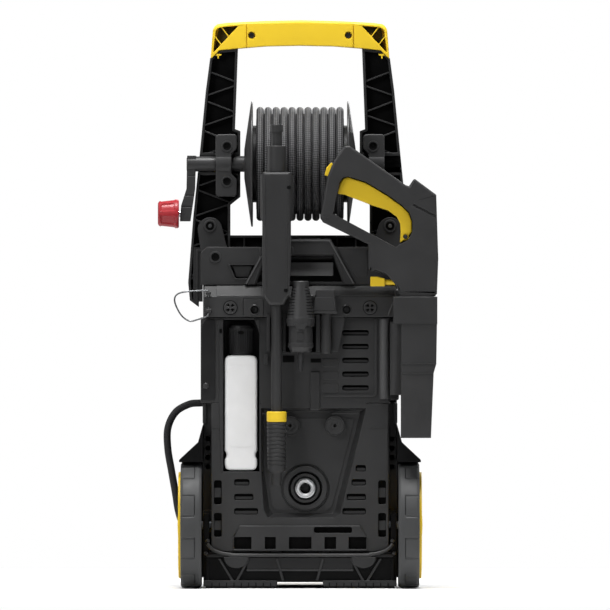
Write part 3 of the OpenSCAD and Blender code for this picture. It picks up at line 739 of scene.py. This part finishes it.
def crank():
    cutters = []
    for z, x0, x1 in ((620, -176, -154), (590, -178, -158), (573, -183, -160)):
        for y0, y1 in ((-60, -38.0), (-22.0, 0)):
            cutters.append(block("groove", (x0, y0, z - 0.8), (x1, y1, z + 0.8)))
        cutters.append(block("groove", (x0 - 2, -45, z - 0.8), (x0 + 4.2 if z > 600 else x0 + 3.4, -15, z + 0.8)))
    softened("crank_arm", GREY_SMOOTH, 1.6, 3, cutters)
    softened("crank_pin", STEEL, 0.4)
    knob()


def knob():
    """A red grip that widens towards the arm, with six long sunk panels round it."""
    panels, panel_start, panel_end, panel_depth = 6, -210.2, -187.9, 1.7
    profile = [(0.06, -214), (15.5, -214), (18.2, -212.6), (19.2, -210.5)]
    profile += [(19.4 + 2.6 * k / 12, -210 + 22 * k / 12) for k in range(13)]
    profile += [(22.0, -187), (21.9, -184.5), (20.8, -182.5), (5.6, -182.5), (5.6, -208), (0.06, -208)]

    def sunk(radius, height, angle):
        if radius < 19 or not panel_start < height < panel_end:
            return radius
        share = (angle / tau * panels) % 1
        side = min(1, max(0, (0.32 - abs(share - 0.5)) / 0.05))
        end = min(1, max(0, min(height - panel_start, panel_end - height) / 2))
        return radius - panel_depth * min(side, end)

    piece = lathe("crank_knob_grip", profile, KNOB, "X", 144, sunk)
    place(shade(piece, 30), "knob", RED, ["crank_knob"])


# ---- the covers at the back ----

# Slots as (height, inner end), and the notches of the lower edge as (start, end)
LEFT_SLOTS = ((159, -76), (137, -70), (115.5, -63))
RIGHT_SLOTS = ((180, 83.6), (159, 77.4), (137, 70), (115.5, 64))
NOTCHES = ((-99, -73), (-52.6, -36.5), (-16.5, 17), (37, 54), (73, 100))


def slot_floor(x0, z0, x1, z1, face=COVER_FACE, gap=0.9, depth=4, material=GREY):
    """A plate that fills a slot's lower part, sunk behind the cover's face, so that a dark line runs round it."""
    open_share = 0.42
    top = z1 - max(gap, open_share * (z1 - z0)) if gap > 0.8 else z1 - gap
    outline = round_rect(x0 + gap, z0 + min(gap, 1), x1 - gap, top, 1.2)
    return finished(prism("slot_floor", outline, face + depth, face + depth + 2), material, 0.4, 1)


# A near-black plate of painted shade, set behind an opening.
def painted_shade_plate(x0, z0, x1, z1, y):
    return paint(block("painted_shade_plate", (x0, y, z0), (x1, y + 1, z1)), PAINTED_SHADE)


def raised(outline, height=1.2, face=COVER_FACE, material=GREY, width=0.8, corner=0, name="raised_panel"):
    if corner:
        outline = rounded_corners(outline, corner)
    return finished(prism(name, outline, face - height, face + 1), material, width, 2, in_front(face))


def rear_cover():
    extras = [slot_floor(63.5, z, 103, z + 8, depth=5) for z in (296.8 + 20.7 * i for i in range(5))]
    extras += [slot_floor(-98.5, z - 4.9, x, z + 4.9) for z, x in LEFT_SLOTS]
    extras += [slot_floor(x, z - 4.9, 98.9, z + 4.9) for z, x in RIGHT_SLOTS]
    for side in (1, -1):
        low, high = sorted((side * 129, side * 117.6))
        for z in (77, 126):
            # Each side slot has a plate of painted shade behind it.
            extras += [slot_floor(low, z + 10, high, z + 25, gap=0.2),
                       painted_shade_plate(low, z, high, z + 36, COVER_FACE + 8)]
    behind = [(64, 104), (125, 104), (125, 190), (86, 190)]
    quarter = [(114 - 6 * (1 - cos(a * pi / 12)), 295 - 6 * sin(a * pi / 12)) for a in range(7)]
    half_round = [(126.5 + 7.2 * cos(pi * k / 12), -112 - 7.6 * sin(pi * k / 12)) for k in range(13)]
    # Plates of painted shade behind the slots, the lower edge and the vents.
    extras += [painted_shade_plate(-125, 104, -55, 175, COVER_FACE + 7),
               paint(prism("painted_shade_plate", behind, COVER_FACE + 7, COVER_FACE + 8), PAINTED_SHADE),
               painted_shade_plate(-105, 57, 105, 95, COVER_FACE + 7),
               painted_shade_plate(58, 290, 108, 392, COVER_FACE + 9),
               finished(ridge("vent_rim", [(114, 404), *quarter, (35, 289)], 3.6, -116, -112), GREY_SMOOTH, 1.2)]
    extras += [raised(round_rect(33, z0, 58, z1, 4), 0.9) for z0, z1 in ((313, 326), (294, 308), (332, 345))]
    # The half-round side post gets a painted highlight.
    extras += [finished(prism("side_post", half_round, 284, 405, "XY"), HIGHLIGHT_GREY, 1.0),
               raised(rectangle(15.5, 267, 29.8, 325), 3, corner=2, width=1.2, name="upright_ridge"),
               # The two gaps are strips of painted shade.
               paint(block("painted_shade_gap", (-26, -113.4, 339), (-8.5, -112, 349)), PAINTED_SHADE),
               paint(block("painted_shade_gap", (16, -113.4, 338.7), (31.5, -112, 344.6)), PAINTED_SHADE),
               raised(round_rect(-54, 336, -48, 351, 1), 9, name="tube_clip")]
    extras += [raised(rectangle(x0, z - 0.9, x1, z + 0.9), 0.8, width=0.5)
               for z, x0, x1 in ((241, -132, -118), (241, 104, 132), (262, -57, -50), (262, 48, 88))]
    extras += inlet_surround() + bottle_recess_details() + lower_edge_details() + side_strip_details()
    cutters = [block("edge_groove", (-134, -114, 277.2), (-58, -111.6, 278.6)),
               block("edge_groove", (100, -114, 277.2), (134, -111.6, 278.6))]
    softened("rear_cover", GREY, 0.9, 2, cutters, extras)


def inlet_surround():
    """Rings round the water inlet, and the raised panel on the recess's floor."""
    rings = []
    # The ring from 22 to 25.2 is painted shade, in the groove between the rings.
    for inner, outer, front, back, material in ((17.2, 22, -101.5, -95, GREY_SMOOTH), (22, 25.2, -97, -95, PAINTED_SHADE),
                                                (25.2, 33, -102, -95, GREY), (34.5, 36.5, -96.2, -94, GREY_SMOOTH)):
        profile = [(inner, back), (inner, front + 0.8), (inner + 0.8, front), (outer - 0.8, front),
                   (outer, front + 0.8), (outer, back)]
        rings.append(turned("inlet_ring", profile, INLET.x, INLET.z, material, 64))
    panel = [(-49, 255), (-49, 178), (-42, 124), (-36, 117), (42, 117), (48, 123), (82, 255)]
    plate = prism("floor_panel", rounded_corners(panel, 4), -96.6, -94.5)
    bosses = ((52.4, 244), (-15, 244))
    for (x, z), radius, steps in (((INLET.x, INLET.z), 36.6, 64), (bosses[0], 13.5, 48), (bosses[1], 13.5, 48)):
        carve(plate, rod("hole", radius, (x, -100, z), (x, -90, z), steps))
    rings.append(finished(plate, GREY, 0.8, 2, in_front(-96)))
    rim = [(2.2, -95), (2.2, -108), (2.6, -108.6), (13.4, -108.6), (13.8, -109.3), (14.6, -109.3), (15, -108.4),
           (15, -95)]
    return rings + [turned("boss_rim", rim, x, z, GREY, 48) for x, z in bosses]


def bottle_recess_details():
    """The straps and edges round the bottle."""
    edge = [(-125, 404), (-115.5, 404), (-115.5, 175), (-118, 172), (-121, 260), (-121, 380)]
    parts = [raised([(-69, 404), (-60, 404), (-60, 380), (-66, 398)], 1.5, width=0.6, name="recess_flap"),
             raised(edge, 1.6, width=0.8, name="recess_edge"),
             # The strap slot is a plate of painted shade.
             paint(block("strap_slot", (-121, -116.2, 383), (-117, -114.8, 389)), PAINTED_SHADE)]
    for inner, side in ((127, -1), (135, 1)):
        panel = mirrored([(148.4, 392), (142, 404), (inner, 404), (inner, 282), (148.4, 282)], side)
        parts.append(raised(panel, 1.2, material=DARK, corner=4, name="side_panel"))
    boss = [(0.1, -116.4), (3, -116.4), (4.4, -115.4), (4.8, -112)]
    return parts + [turned("side_boss", boss, -141.3, 303.8, GREY_SMOOTH)]


def lower_edge_details():
    """Plates of painted shade behind the notches along the cover's lower edge."""
    return [slot_floor(x0 - 1, 58, x1 + 1, 78, face=-116, depth=7, gap=0, material=PAINTED_SHADE) for x0, x1 in NOTCHES]


def side_strip_details():
    """The light brackets and edges on the narrow strips beside the lower cover."""
    parts = []
    stud = [(0.1, -118.5), (2, -118), (3, -116.5), (3.2, -112)]
    for side in (1, -1):
        bracket = mirrored([(133, 100), (141, 100), (145.4, 106), (145.4, 117), (133, 117)], side)
        edge = mirrored(rectangle(140.5, 247, 146.4, 278), side)
        lip = mirrored(rectangle(133.4, 160, 135, 236), side)
        parts += [finished(prism("strip_bracket", rounded_corners(bracket, 3), -82, -66), GREY_SMOOTH, 1),
                  finished(prism("strip_edge", rounded_corners(edge, 2), -74, -66), GREY_SMOOTH, 1),
                  turned("strip_stud", stud, side * 138.6, 71, GREY_SMOOTH, 24),
                  turned("strip_stud", stud, side * 141, 52.4, GREY_SMOOTH, 24),
                  finished(prism("strip_rib", lip, -76, -69), GREY_SMOOTH, 0.4)]
    return parts


def upper_cover():
    arch = [(-80.5, 457), (-44.5, 521.5), (44.5, 521.5), (80.5, 457)]
    inner_arch = [(-69, 457), (-52, 502), (52, 502), (69, 457)]
    recess_floor = [(-110, 468.5), (-102, 489), (-71, 489), (-71, 468.5)]
    slope = [(-110, 497), (-108, 498), (-74, 490), (-74, 488)]
    pocket = rounded_corners([(-104, 485), (-69, 485), (-76.5, 466), (-96.5, 466)], 2)
    pocket_rim = [(-107, 486), (-66, 486), (-75.6, 464), (-97.4, 464)]
    facet = [(57, 511), (101, 510), (101, 466), (86, 466)]
    # The handle's outer edge and the hand recess's floor get a painted highlight.
    extras = [finished(ridge("handle_edge", arch, 2.2, -115.2, -112), HIGHLIGHT_GREY, 0.8),
              finished(ridge("handle_inner_edge", inner_arch, 1.8, -115, -112), GREY_SMOOTH, 0.6),
              finished(prism("recess_floor", recess_floor, -50, 50, "YZ"), HIGHLIGHT_GREY, 1.0),
              paint(prism("recess_slope", slope, -49, 49, "YZ"), GREY),
              finished(prism("pocket_floor", pocket, -103, -81), GREY_SMOOTH, 2.5, 4),
              finished(ridge("pocket_rim", pocket_rim, 2, -109.4, -107, True), GREY_SMOOTH, 0.6),
              raised(facet, 0.9, face=UPPER_FACE, corner=4, name="side_facet")]
    for side in (1, -1):
        screw_x, ear_x = side * 127, side * 135.5
        well = lathe("ear_well", [(3, -41.9), (6.7, -41.9), (6.7, -40.5), (3, -40.5)], Vector((ear_x, 0, 544)), "Y", 40)
        extras += [turned("screw_rim", [(6.2, -107), (6.2, -109.2), (8.4, -109.2), (9.2, -107.6)], screw_x, 497,
                          GREY_SMOOTH, 40),
                   turned("ear_rim", [(6.6, -41), (6.6, -43.6), (8.8, -43.6), (9.8, -41.6)], ear_x, 544,
                          GREY_SMOOTH, 40),
                   screw_hole(screw_x, 497, 6.1, -109.1),
                   turned("ear_screw", [(0.1, -43.9), (2.6, -43.9), (3, -43.4), (3, -41)], ear_x, 544, WIRE, 24),
                   paint(well, BLACK)]
    softened("upper_rear_cover", GREY, 1.4, 3, extras=extras)


def shelf():
    extras = []
    for x0, x1, cut_left in ((-125, -54, 0), (15, 140, 4)):
        top = [(x0, -127.4, 438.3), (x1, -127.4, 438.3), (x1 - 5, -109.6, 453.4), (x0 + cut_left, -109.6, 453.4)]
        extras.append(slanted_plate("lit_tray", top, 0.9, GREY_SMOOTH))
    extras += [raised([(18.7, 416), (53.6, 416), (49, 437), (23, 437)], 21, SHELF_FACE, corner=1.5, width=1.4,
                      name="front_block"),
               raised([(17, 412.4), (55.5, 412.4), (55, 415.4), (18, 415.4)], 22, SHELF_FACE, GREY_SMOOTH, 0.8,
                      name="block_rim")]
    plate_x, plate_height = -68, 1.8
    plate = prism("screw_plate", rounded_corners(rectangle(-84.5, 408, -54.8, 433.5), 3), SHELF_FACE - plate_height,
                  SHELF_FACE + 1)
    carve(plate, rod("hole", 6.3, (plate_x, -131, 418), (plate_x, -125, 418), 40))
    extras.append(finished(plate, GREY, 0.9, 2, in_front(SHELF_FACE - 1)))
    for x, z, r, inner in ((-104.4, 421, 10.2, 0.1), (plate_x, 418, 7.8, 6.3), (69.8, 418, 7.8, 6.3),
                           (105, 421, 10.2, 0.1)):
        centre = Vector((x, 0, z))
        face = SHELF_FACE - (plate_height if x == plate_x else 0)
        rim = lathe("screw_rim", [(inner, face + 2), (inner, face - 1), (r - 0.8, face - 1), (r, face - 0.4),
                                  (r, face + 2)], centre, "Y", 48)
        if inner < 1:
            extras += cross_of_wedges(rim, x, z, face)
            round_edges(rim, 0.3, 1)
            well = lathe("screw_well", [(r - 0.6, face - 0.8), (r + 0.7, face - 0.8), (r + 0.7, face + 1),
                                        (r - 0.6, face + 1)], centre, "Y", 48)
            extras.append(paint(well, BLACK))
        extras.append(paint(shade(rim), GREY_SMOOTH))
    extras += [turned("small_pin", [(0.1, -131.2), (1.6, -131.2), (2.2, -130.4), (2.2, -127)], -19, 444, STEEL, 24),
               finished(ridge("block_line", [(-85.9, 408.4), (-85.9, 436)], 0.9, -129, -127.4), GREY_SMOOTH, 0.3),
               # The end edge and end block get a painted highlight.
               finished(ridge("end_edge", [(132, 409), (136, 420), (143, 436)], 1.8, -130, -127), HIGHLIGHT_GREY, 0.7),
               finished(block("end_block", (142, -127, 437), (148.6, -116, 447)), HIGHLIGHT_GREY, 1.4)]
    softened("accessory_shelf", GREY, 1.3, 3, extras=extras + holders())


def slanted_plate(name, corners, thick, material):
    """A thin plate with four corners in space, with its thickness along its own normal."""
    points = [Vector(c) for c in corners]
    normal = (points[1] - points[0]).cross(points[3] - points[0]).normalized() * thick
    if normal.z < 0:
        normal = -normal
    bm = bmesh.new()
    low = [bm.verts.new(p * MM) for p in points]
    high = [bm.verts.new((p + normal) * MM) for p in points]
    bm.faces.new(low)
    bm.faces.new(high)
    bridge(bm, low, high)
    return finished(mesh_object(name, bm), material, 0.4)


def cross_of_wedges(rim, x, z, face):
    """Sinks four wedges into a screw cover's face, and returns their floors: plates of painted shade."""
    floors = []
    for k in range(4):
        a = pi / 4 + k * pi / 2
        wedge = [(x + reach * cos(a + turn), z + reach * sin(a + turn))
                 for reach, turn in ((2.4, -0.45), (7.6, -0.42), (8.0, 0), (7.6, 0.42), (2.4, 0.45))]
        carve(rim, prism("wedge", wedge, face - 3, face + 1.2))
        floors.append(paint(prism("wedge_floor", wedge, face + 1.1, face + 1.6), PAINTED_SHADE))
    return floors


def holders():
    """What hangs below the shelf: the turbo nozzle's pocket, the lance's clip, a post and a wedge."""
    parts = [finished(prism("holder_wall", rectangle(x0, 355, x1, 411), reach, COVER_FACE + 0.5), GREY, 0.9)
             for x0, x1, reach in ((-26.2, -20.9, -133), (23.6, 30, -138), (-50, -44.4, -133))]
    post = lathe("post", [(0.1, 352), (6.4, 352), (8, 354), (8, 412)], Vector((39, -136, 0)), "Z", 40)
    wedge = rounded_corners([(47.6, 355), (57, 355), (68, 405), (66, 408), (47.6, 408)], 2)
    return parts + [finished(block("holder_ledge", (-26, -131.4, 351.6), (30, COVER_FACE + 0.5, 355)), GREY, 0.7),
                    # The pocket's and the clip's backs are plates of painted shade.
                    paint(block("holder_back", (-21, -119, 355), (23.7, -117, 408)), PAINTED_SHADE),
                    paint(block("clip_back", (-44.4, -119, 356), (-26, -117, 408)), PAINTED_SHADE),
                    paint(shade(post), GREY_SMOOTH),
                    finished(prism("wedge", wedge, -127, COVER_FACE + 0.5), GREY, 1.4)]


# ---- base and wheels ----

def base():
    bow = [(139, 67), (132, 59), (120, 53.6), (104, 50.8), (89, 49.8)]
    path = smooth_path([(x, -119.6, z) for x, z in mirrored(bow, -1) + bow[::-1]], 6)
    extras = [paint(shade(sweep("bow_bar", path, 2.7, 14)), GREY_SMOOTH),
              finished(block("bow_shelf", (-140, -118, 47), (140, -112, 51.5)), DARK, 0.8),
              finished(block("dark_band", (-80, -119, 28), (80, -112, 47)), DARK, 1.6, 3),
              finished(block("band_edge", (-80, -120.4, 26), (80, -112, 28.6)), GREY_SMOOTH, 0.8)]
    for side in (1, -1):
        arch, edge = ([(side * (95.7 + wide * cos(a * pi / 16)), 47 - deep * sin(a * pi / 16)) for a in range(17)]
                      for wide, deep in ((18.8, 17), (20, 18.2)))
        extras += [finished(prism("band_bulge", arch, -122, -115), DARK, 3, 4, lambda a, b: max(a.y, b.y) < -121),
                   finished(ridge("bulge_edge", edge, 1.2, -118.5, -115), BLACK, 0.3)]
        extras += [finished(block("foot_rib", (x - 0.8, -122.8, 0.8), (x + 0.8, -118, 9)), BLACK, 0.3)
                   for x in (side * (44 + 11 * k) for k in range(9))]
    lip_off = block("lip", (-146, -125, 44.2), (146, -115.02, 56))
    # Back-facing faces of the base's ribs and bulges get the painted highlight, lighter than the black.
    paint_faces(softened("base", BLACK, 0.7, 2, [lip_off], extras), RIB_HIGHLIGHT,
                lambda centre, normal: normal.y < -0.6 and centre.y < -120.6 and 5.5 < centre.z < 47
                and abs(centre.x) < 130)


def tread(radius, height, angle):
    """Nine blocks round the tyre: a cross groove between them, and a broken groove along each side."""
    blocks, groove_width, groove_depth = 9, 0.02, 1.2
    height = abs(height)
    share = (angle / tau * blocks + 0.22) % 1
    if 157 < height < 158.4:
        return radius if share < 0.5 else TYRE_RADIUS
    if radius > 93 and height > 158 and (share < groove_width or 0.5 < share < 0.5 + groove_width):
        return radius - groove_depth
    return radius


def wheels():
    profile = [(80.2, 147.2), (90, 147.2), (92.4, 148.2), (93.6, 150.4), (94, 152), (94, 157), (92.8, 157.4),
               (92.8, 158.2), (94, 158.6), (94, 168), (94, 174), (93.5, 176.4), (92.2, 178.4), (90.4, 179),
               (80.2, 179)]
    spoke_count, groove_floor = 6, 93.3
    for side, tag in ((-1, "left"), (1, "right")):
        tyre = lathe(f"tyre_{tag}", [(r, side * x) for r, x in profile], AXLE, "X", 288, tread)
        place(shade(tyre, 30), f"{tag}_wheel", TYRE, [f"wheel_{tag}"])
        # The tread grooves' faces are painted a darker grey: painted shade in the grooves.
        paint_faces(tyre, DARK, lambda centre, normal: 156.9 < abs(centre.x) < 175
                    and (Vector((0, centre.y, centre.z)) - AXLE).length < groove_floor)
        spokes = []
        outward_along_x = Matrix(((0, 0, side, 0), (1, 0, 0, 0), (0, 1, 0, 0), (0, 0, 0, 1)))
        for i in range(spoke_count):
            arm = prism("spoke", [(40, -3.5), (68, -2.6), (68, 2.6), (40, 3.5)], 176, 179.4, "XY")
            arm.data.transform(Matrix.Translation(AXLE * MM)
                               @ Matrix.Rotation(tau * (i + 0.5) / spoke_count, 4, "X") @ outward_along_x)
            spokes.append(finished(arm, YELLOW, 0.8))
        softened(f"wheel_hub_{tag}", YELLOW, 1.0, 2, extras=spokes)
        low, high = sorted((side * 146.5, side * 178))
        flange = paint(block("fender_flange", (low, -42, 183), (high, -38, 191)), BLACK)
        softened(f"fender_{tag}", BLACK, 1.4, 3, extras=[flange])
    softened("axle", MOTOR, 0.6)
    softened("axle_clips", SCREW_BLACK_AND_SHADE, 0.3)
    softened("rubber_feet", RUBBER, 0.8)


# ---- front half ----

def front():
    lips = []
    for side in (1, -1):
        low, high = sorted((side * 145.5, side * 149.4))
        lips.append(finished(block("wheel_arch_lip", (low, 5.6, 14), (high, 8, 190)), BLACK, 0.6))
    softened("front_cover", GREY, 1.6, 3, extras=lips)
    softened("front_panel", YELLOW, 1.2, 3)
    softened("power_switch_knob", GREY_SMOOTH, 1.6, 3)
    softened("cable_gland", RUBBER, 0.8)


def inside():
    for cad_node, material in (("switch_box", SWITCH), ("pump", ALLOY), ("motor_housing", MOTOR),
                               ("motor_rotor", STEEL)):
        keep(cad_node, material)
    # The cover screws sit deep in their holes; their black is partly painted shade.
    softened("cover_screws", SCREW_BLACK_AND_SHADE, 0.3)


# ---- water path, bottle and hook ----

def water_parts():
    softened("outlet_fitting", SILVER, 0.8)
    inlet = lathe("inlet_thread", inlet_profile(), INLET, "Y", 72)
    place(shade(inlet, 30), "frame", SILVER, ["water_inlet"])
    mesh = lathe("inlet_filter_mesh", [(0.1, -105), (3, -104.6), (6, -103), (8, -100), (8, -94), (0.1, -94)],
                 INLET, "Y", 40)
    place(shade(mesh), "frame", RUBBER, ["inlet_filter"])
    route = [(-141, 15, 277), (-152, 15, 277), (-168, 15, 275), (-188, 15, 263), (-199.5, 15, 239),
             (-199.5, 15, 208), (-194, 15, 175), (-188, 15, 141), (-184, 15, 116), (-178, 15, 98),
             (-167, 15, 88.8), (-158, 15, 88), (-150, 15, 88)]
    hose = sweep("connecting_hose_rubber", smooth_path(route, 8), 5.5, 20)
    place(shade(hose), "frame", RUBBER, ["connecting_hose"])
    hook_route = [(-137, -131.5, 437), (-137, -131.5, 442), (-138.5, -131.5, 446.3), (-150, -131.5, 446.5),
                  (-180, -131.5, 443), (-188, -131.5, 432), (-179, -131.5, 411), (-166, -131.5, 401),
                  (-154, -131.5, 403), (-141, -131.5, 407.5), (-137.3, -131.5, 411), (-137, -131.5, 416),
                  (-137, -131.5, 422)]
    hook = sweep("wire_hook", smooth_path(hook_route, 8), 1.2, 12)
    place(shade(hook), "hook", WIRE, ["cord_hook"])


def inlet_profile():
    """The water inlet: a threaded collar, then the pipe to the pump."""
    outer = [(10, 5), (10, -75), (15, -75), (15, -95), (12.6, -95.5)]
    for k in range(8):
        y = -96.5 - 2.2 * k
        outer += [(13.2, y), (13.2, y - 0.8), (12.3, y - 1.3), (12.3, y - 1.9)]
    outer += [(13.2, -114.8), (12.6, -116), (9.4, -116), (8.2, -114.6), (8.2, -91), (7, -91), (7, 5)]
    return outer


def bottle():
    """A flat bottle with round shoulders and a waist notch, its neck inside the cap."""
    half = [(0, 349.5), (16, 349.5), (21, 348.2), (24, 344.5), (24.5, 339), (24.5, 206), (22.6, 203.6), (21.8, 199.8),
            (22.6, 196), (24.5, 193.6), (24.5, 184), (22.5, 179), (18, 177), (0, 177)]
    x, axis = BOTTLE_AXIS.x, BOTTLE_AXIS
    outline = [(x + reach, z) for reach, z in half + mirrored(half[1:-1], -1)[::-1]]
    body = prism("bottle_body", rounded_corners(outline, 2.4, 3), -112, -68)
    round_edges(body, 5, 4, lambda a, b: abs(a.y - b.y) < 0.01)
    neck = shade(lathe("bottle_neck", [(15, 348), (15, 362), (12.5, 362), (12.5, 348)], axis, "Z", 48))
    label_area = prism("label_area", round_rect(x - 18, 212, x + 18, 334, 6), -112.25, -111.5)
    place(join("bottle_blown", [paint(body, BOTTLE), paint(neck, BOTTLE), finished(label_area, BOTTLE, 0.6)]),
          "bottle", None, ["detergent_bottle"])

    def grooved(radius, height, angle):
        grooves, width, depth = 36, 0.4, 0.9
        return radius - (depth if radius > 19 and 354 < height < 388 and (angle / tau * grooves) % 1 < width else 0)

    profile = [(15.2, 350.1), (19.4, 350.1), (20, 351), (20, 353), (19.6, 353.5), (19.6, 386), (20, 387), (20, 390),
               (18.5, 394), (15, 396), (8, 396), (7, 395), (7, 390), (0.1, 390), (0.1, 380), (15.2, 380)]
    cap = lathe("bottle_cap_ribbed", profile, axis, "Z", 216, grooved)
    oval = [(x + 4.6 * cos(tau * k / 24), 383.5 + 2.6 * sin(tau * k / 24)) for k in range(24)]
    mark = paint(prism("cap_oval", oval, -109.9, -107), PAINTED_SHADE)
    place(join("bottle_cap_ribbed", [paint(shade(cap, 25), DARK), mark]), "cap", None, ["bottle_cap"])


# ---- gun, holster and lances ----

def gun():
    broad, narrow, window_band = 7, 1.2, 1.2
    for node_name, face in (("gun_shell_left", -166), ("gun_shell_right", -130)):
        shell = carve(copy_of(node_name), *gun_grooves(face))
        round_edges(shell, broad, 5, lambda a, b: max(abs(a.y - face), abs(b.y - face)) < 0.1
                    and min(distance_to_window(a), distance_to_window(b)) > window_band)
        round_edges(shell, narrow, 2, lambda a, b: max(abs(a.y - face), abs(b.y - face)) < 0.1
                    and max(distance_to_window(a), distance_to_window(b)) < window_band)
        extras = [paint(shell, GREY)]
        if face > GUN_Y:
            lining = ridge("trigger_slot", GUN_WINDOW[3:], 10, -139, -136.5)
            extras.append(paint(lining, BLACK))
        else:
            extras.append(paint(block("dark_skirt", (151, -160, 438), (203, -150, 441)), BLACK))
        place(shade(join(node_name + "_moulded", extras), 32), "gun", None, [node_name])
    softened("gun_barrel", STEEL, 0.4)
    softened("gun_pins", SCREW_BLACK_AND_SHADE, 0.3)
    softened("gun_trigger", YELLOW, 1.6, 3)
    softened("trigger_lock", YELLOW, 1.0, 3)
    softened("lance_release_button", YELLOW, 0.9, 3)


# The outline of the hole behind the gun's trigger
GUN_WINDOW = [(49.6, 561.7), (143.4, 511.5), (149.5, 516), (161.5, 522), (168.2, 534.2), (168.2, 550.4),
              (163.3, 563.8), (153.5, 573.5), (131, 590), (98.5, 609.2), (72.2, 617.3), (64.5, 615.7), (58.7, 607.3)]


def distance_to_window(point):
    """How far a point is from the window's outline, seen along Y."""
    here = Vector((point.x, point.z))
    best = 1e9
    for i, a in enumerate(GUN_WINDOW):
        a, b = Vector(GUN_WINDOW[i - 1]), Vector(a)
        way = b - a
        t = max(0, min(1, (here - a).dot(way) / way.length_squared))
        best = min(best, (here - a - way * t).length)
    return best


def gun_grooves(face):
    """Thin lines let into the shell: the joint above the barrel and the arch round the button."""
    depth = 1.2 if face < GUN_Y else -1.2
    near, far = sorted((face - depth, face + depth))
    return [ridge("groove", line, 1.2, near, far)
            for line in ([(170.5, 574.5), (207, 556)], [(138, 455), (127, 471), (110, 477)], [(153, 441), (206, 441)])]


def holster():
    extras = [finished(prism("collar_band", round_rect(139.6, 397, 205.4, 437, 3), -171.2, -169), GREY, 1.0)]
    extras += [finished(ridge("step_line", [(151.5, z), (end, z)], 1.4, -170.8, -169.4), GREY_SMOOTH, 0.5)
               for z, end in ((337, 204), (323, 200))]
    softened("holster", GREY, 2.4, 3, extras=extras, where=lambda a, b: max(a.y, b.y) < -169.6)


def lance():
    extras = []
    for x, step in ((-17.5, -2.2), (-52.5, 2.2)):
        seam = [(x, 612), (x, 552), (x + step, 546), (x + step, 450)]
        extras.append(finished(ridge("handle_seam", seam, 1.1, HANDLE_FACE - 0.7, HANDLE_FACE + 1), GREY_SMOOTH, 0.4))
    pin = [(0.1, HANDLE_FACE - 0.9), (2.4, HANDLE_FACE - 0.9), (3.2, HANDLE_FACE), (3.2, HANDLE_FACE + 1)]
    extras += [turned("handle_pin", pin, x, z, BLACK, 24) for x, z in ((-16.5, 601), (-21, 447))]
    softened("lance_handle", GREY, 5, 5, extras=extras, where=lambda a, b: max(a.y, b.y) < HANDLE_FACE + 0.3)
    softened("lance_stub", GREY, 0.9, 3)
    softened("lance_tube", GREY, 0.3)
    collar = lathe("lance_collar_ring", [(8, 250), (14, 250), (14.8, 251.2), (14.8, 264.3), (14, 265.5), (8, 265.5)],
                   LANCE, "Z", 56)
    place(shade(collar, 30), "lance", YELLOW, ["lance_collar"])
    profile = [(3, 155), (7.3, 155), (8, 156.4), (8.5, 172), (13.2, 176.5), (13.6, 178)]
    ribs = 11
    for k in range(ribs):
        z = 180.5 + 6 * k
        r = 13.7 + 1.3 * k / ribs
        profile += [(r, z), (r, z + 3.6), (r - 0.3, z + 4.0), (r - 0.9, z + 4.2), (r - 0.9, z + 5.2),
                    (r - 0.2, z + 5.6)]
    profile += [(15, 247), (14.4, 249.2), (8.4, 249.2), (8.4, 200), (3, 200)]
    nozzle = lathe("lance_nozzle_ribbed", profile, LANCE, "Z", 72)
    place(shade(nozzle, 30), "nozzle", GREY, ["lance_nozzle"])


def turbo():
    wide, slope, ribs_start, ribs_end = 20.6, 0.165, 407.5, 452.5
    profile = [(5, 393), (20.4, 393), (20.6, 396), (21.2, 398), (21.3, 404.6), (20.4, 406)]
    for k in range(10):
        z = ribs_start + 4.4 * k
        r = wide - (z - ribs_start) * slope
        profile += [(r, z), (r - 0.35, z + 2.4), (r - 1.9, z + 2.9), (r - 2.0, z + 3.7)]
    profile += [(12.6, 453), (12, 459.6), (11, 461), (5, 461)]

    def front_strip(radius, height, angle):
        """Fills the ribs along a narrow strip that faces the camera at rest."""
        turned_away = abs((angle + pi / 2 + pi) % tau - pi)
        if height < 406 or height > ribs_end or turned_away > 0.55:
            return radius
        return 20.4 - (height - ribs_start) * slope

    cone = lathe("turbo_nozzle_cone", profile, TURBO, "Z", 96, front_strip)
    tab = prism("cone_tab", [(-9, 397), (11, 397), (6, 388.5), (-4, 388.5)], TURBO.y - 20.6, TURBO.y - 17)
    place(join("turbo_nozzle_cone_detailed", [paint(shade(cone, 30), GREY), finished(tab, GREY_SMOOTH, 0.6)]),
          "turbo", None, ["turbo_nozzle_grip"])
    profile = [(2.1, 354), (14, 354), (16, 355.4), (17.6, 360.5), (19, 361.8), (19, 367.8), (17.9, 368.6),
               (17.9, 391), (17.2, 393), (5, 393), (5, 440), (2.1, 440)]
    body = paint(shade(lathe("turbo_body", profile, TURBO, "Z", 72), 30), GREY_SMOOTH)
    button = prism("turbo_button", round_rect(-5, 372, 6, 384, 1.5), TURBO.y - 18.9, TURBO.y - 16.5)
    place(join("turbo_body_detailed", [body, finished(button, GREY, 0.7)]), "turbo", None, ["turbo_nozzle_body"])
    stub = lathe("turbo_stub_turned", [(2, 326), (3.5, 326), (3.5, 341), (4.3, 342), (4.3, 354), (2, 354)], TURBO,
                 "Z", 40)
    place(shade(stub, 30), "turbo", SCREW_BLACK_AND_SHADE, ["turbo_stub"])


camera()
studio()
handle()
grip()
bearing_caps()
reel()
crank()
rear_cover()
upper_cover()
shelf()
base()
wheels()
front()
inside()
water_parts()
bottle()
gun()
holster()
lance()
turbo()
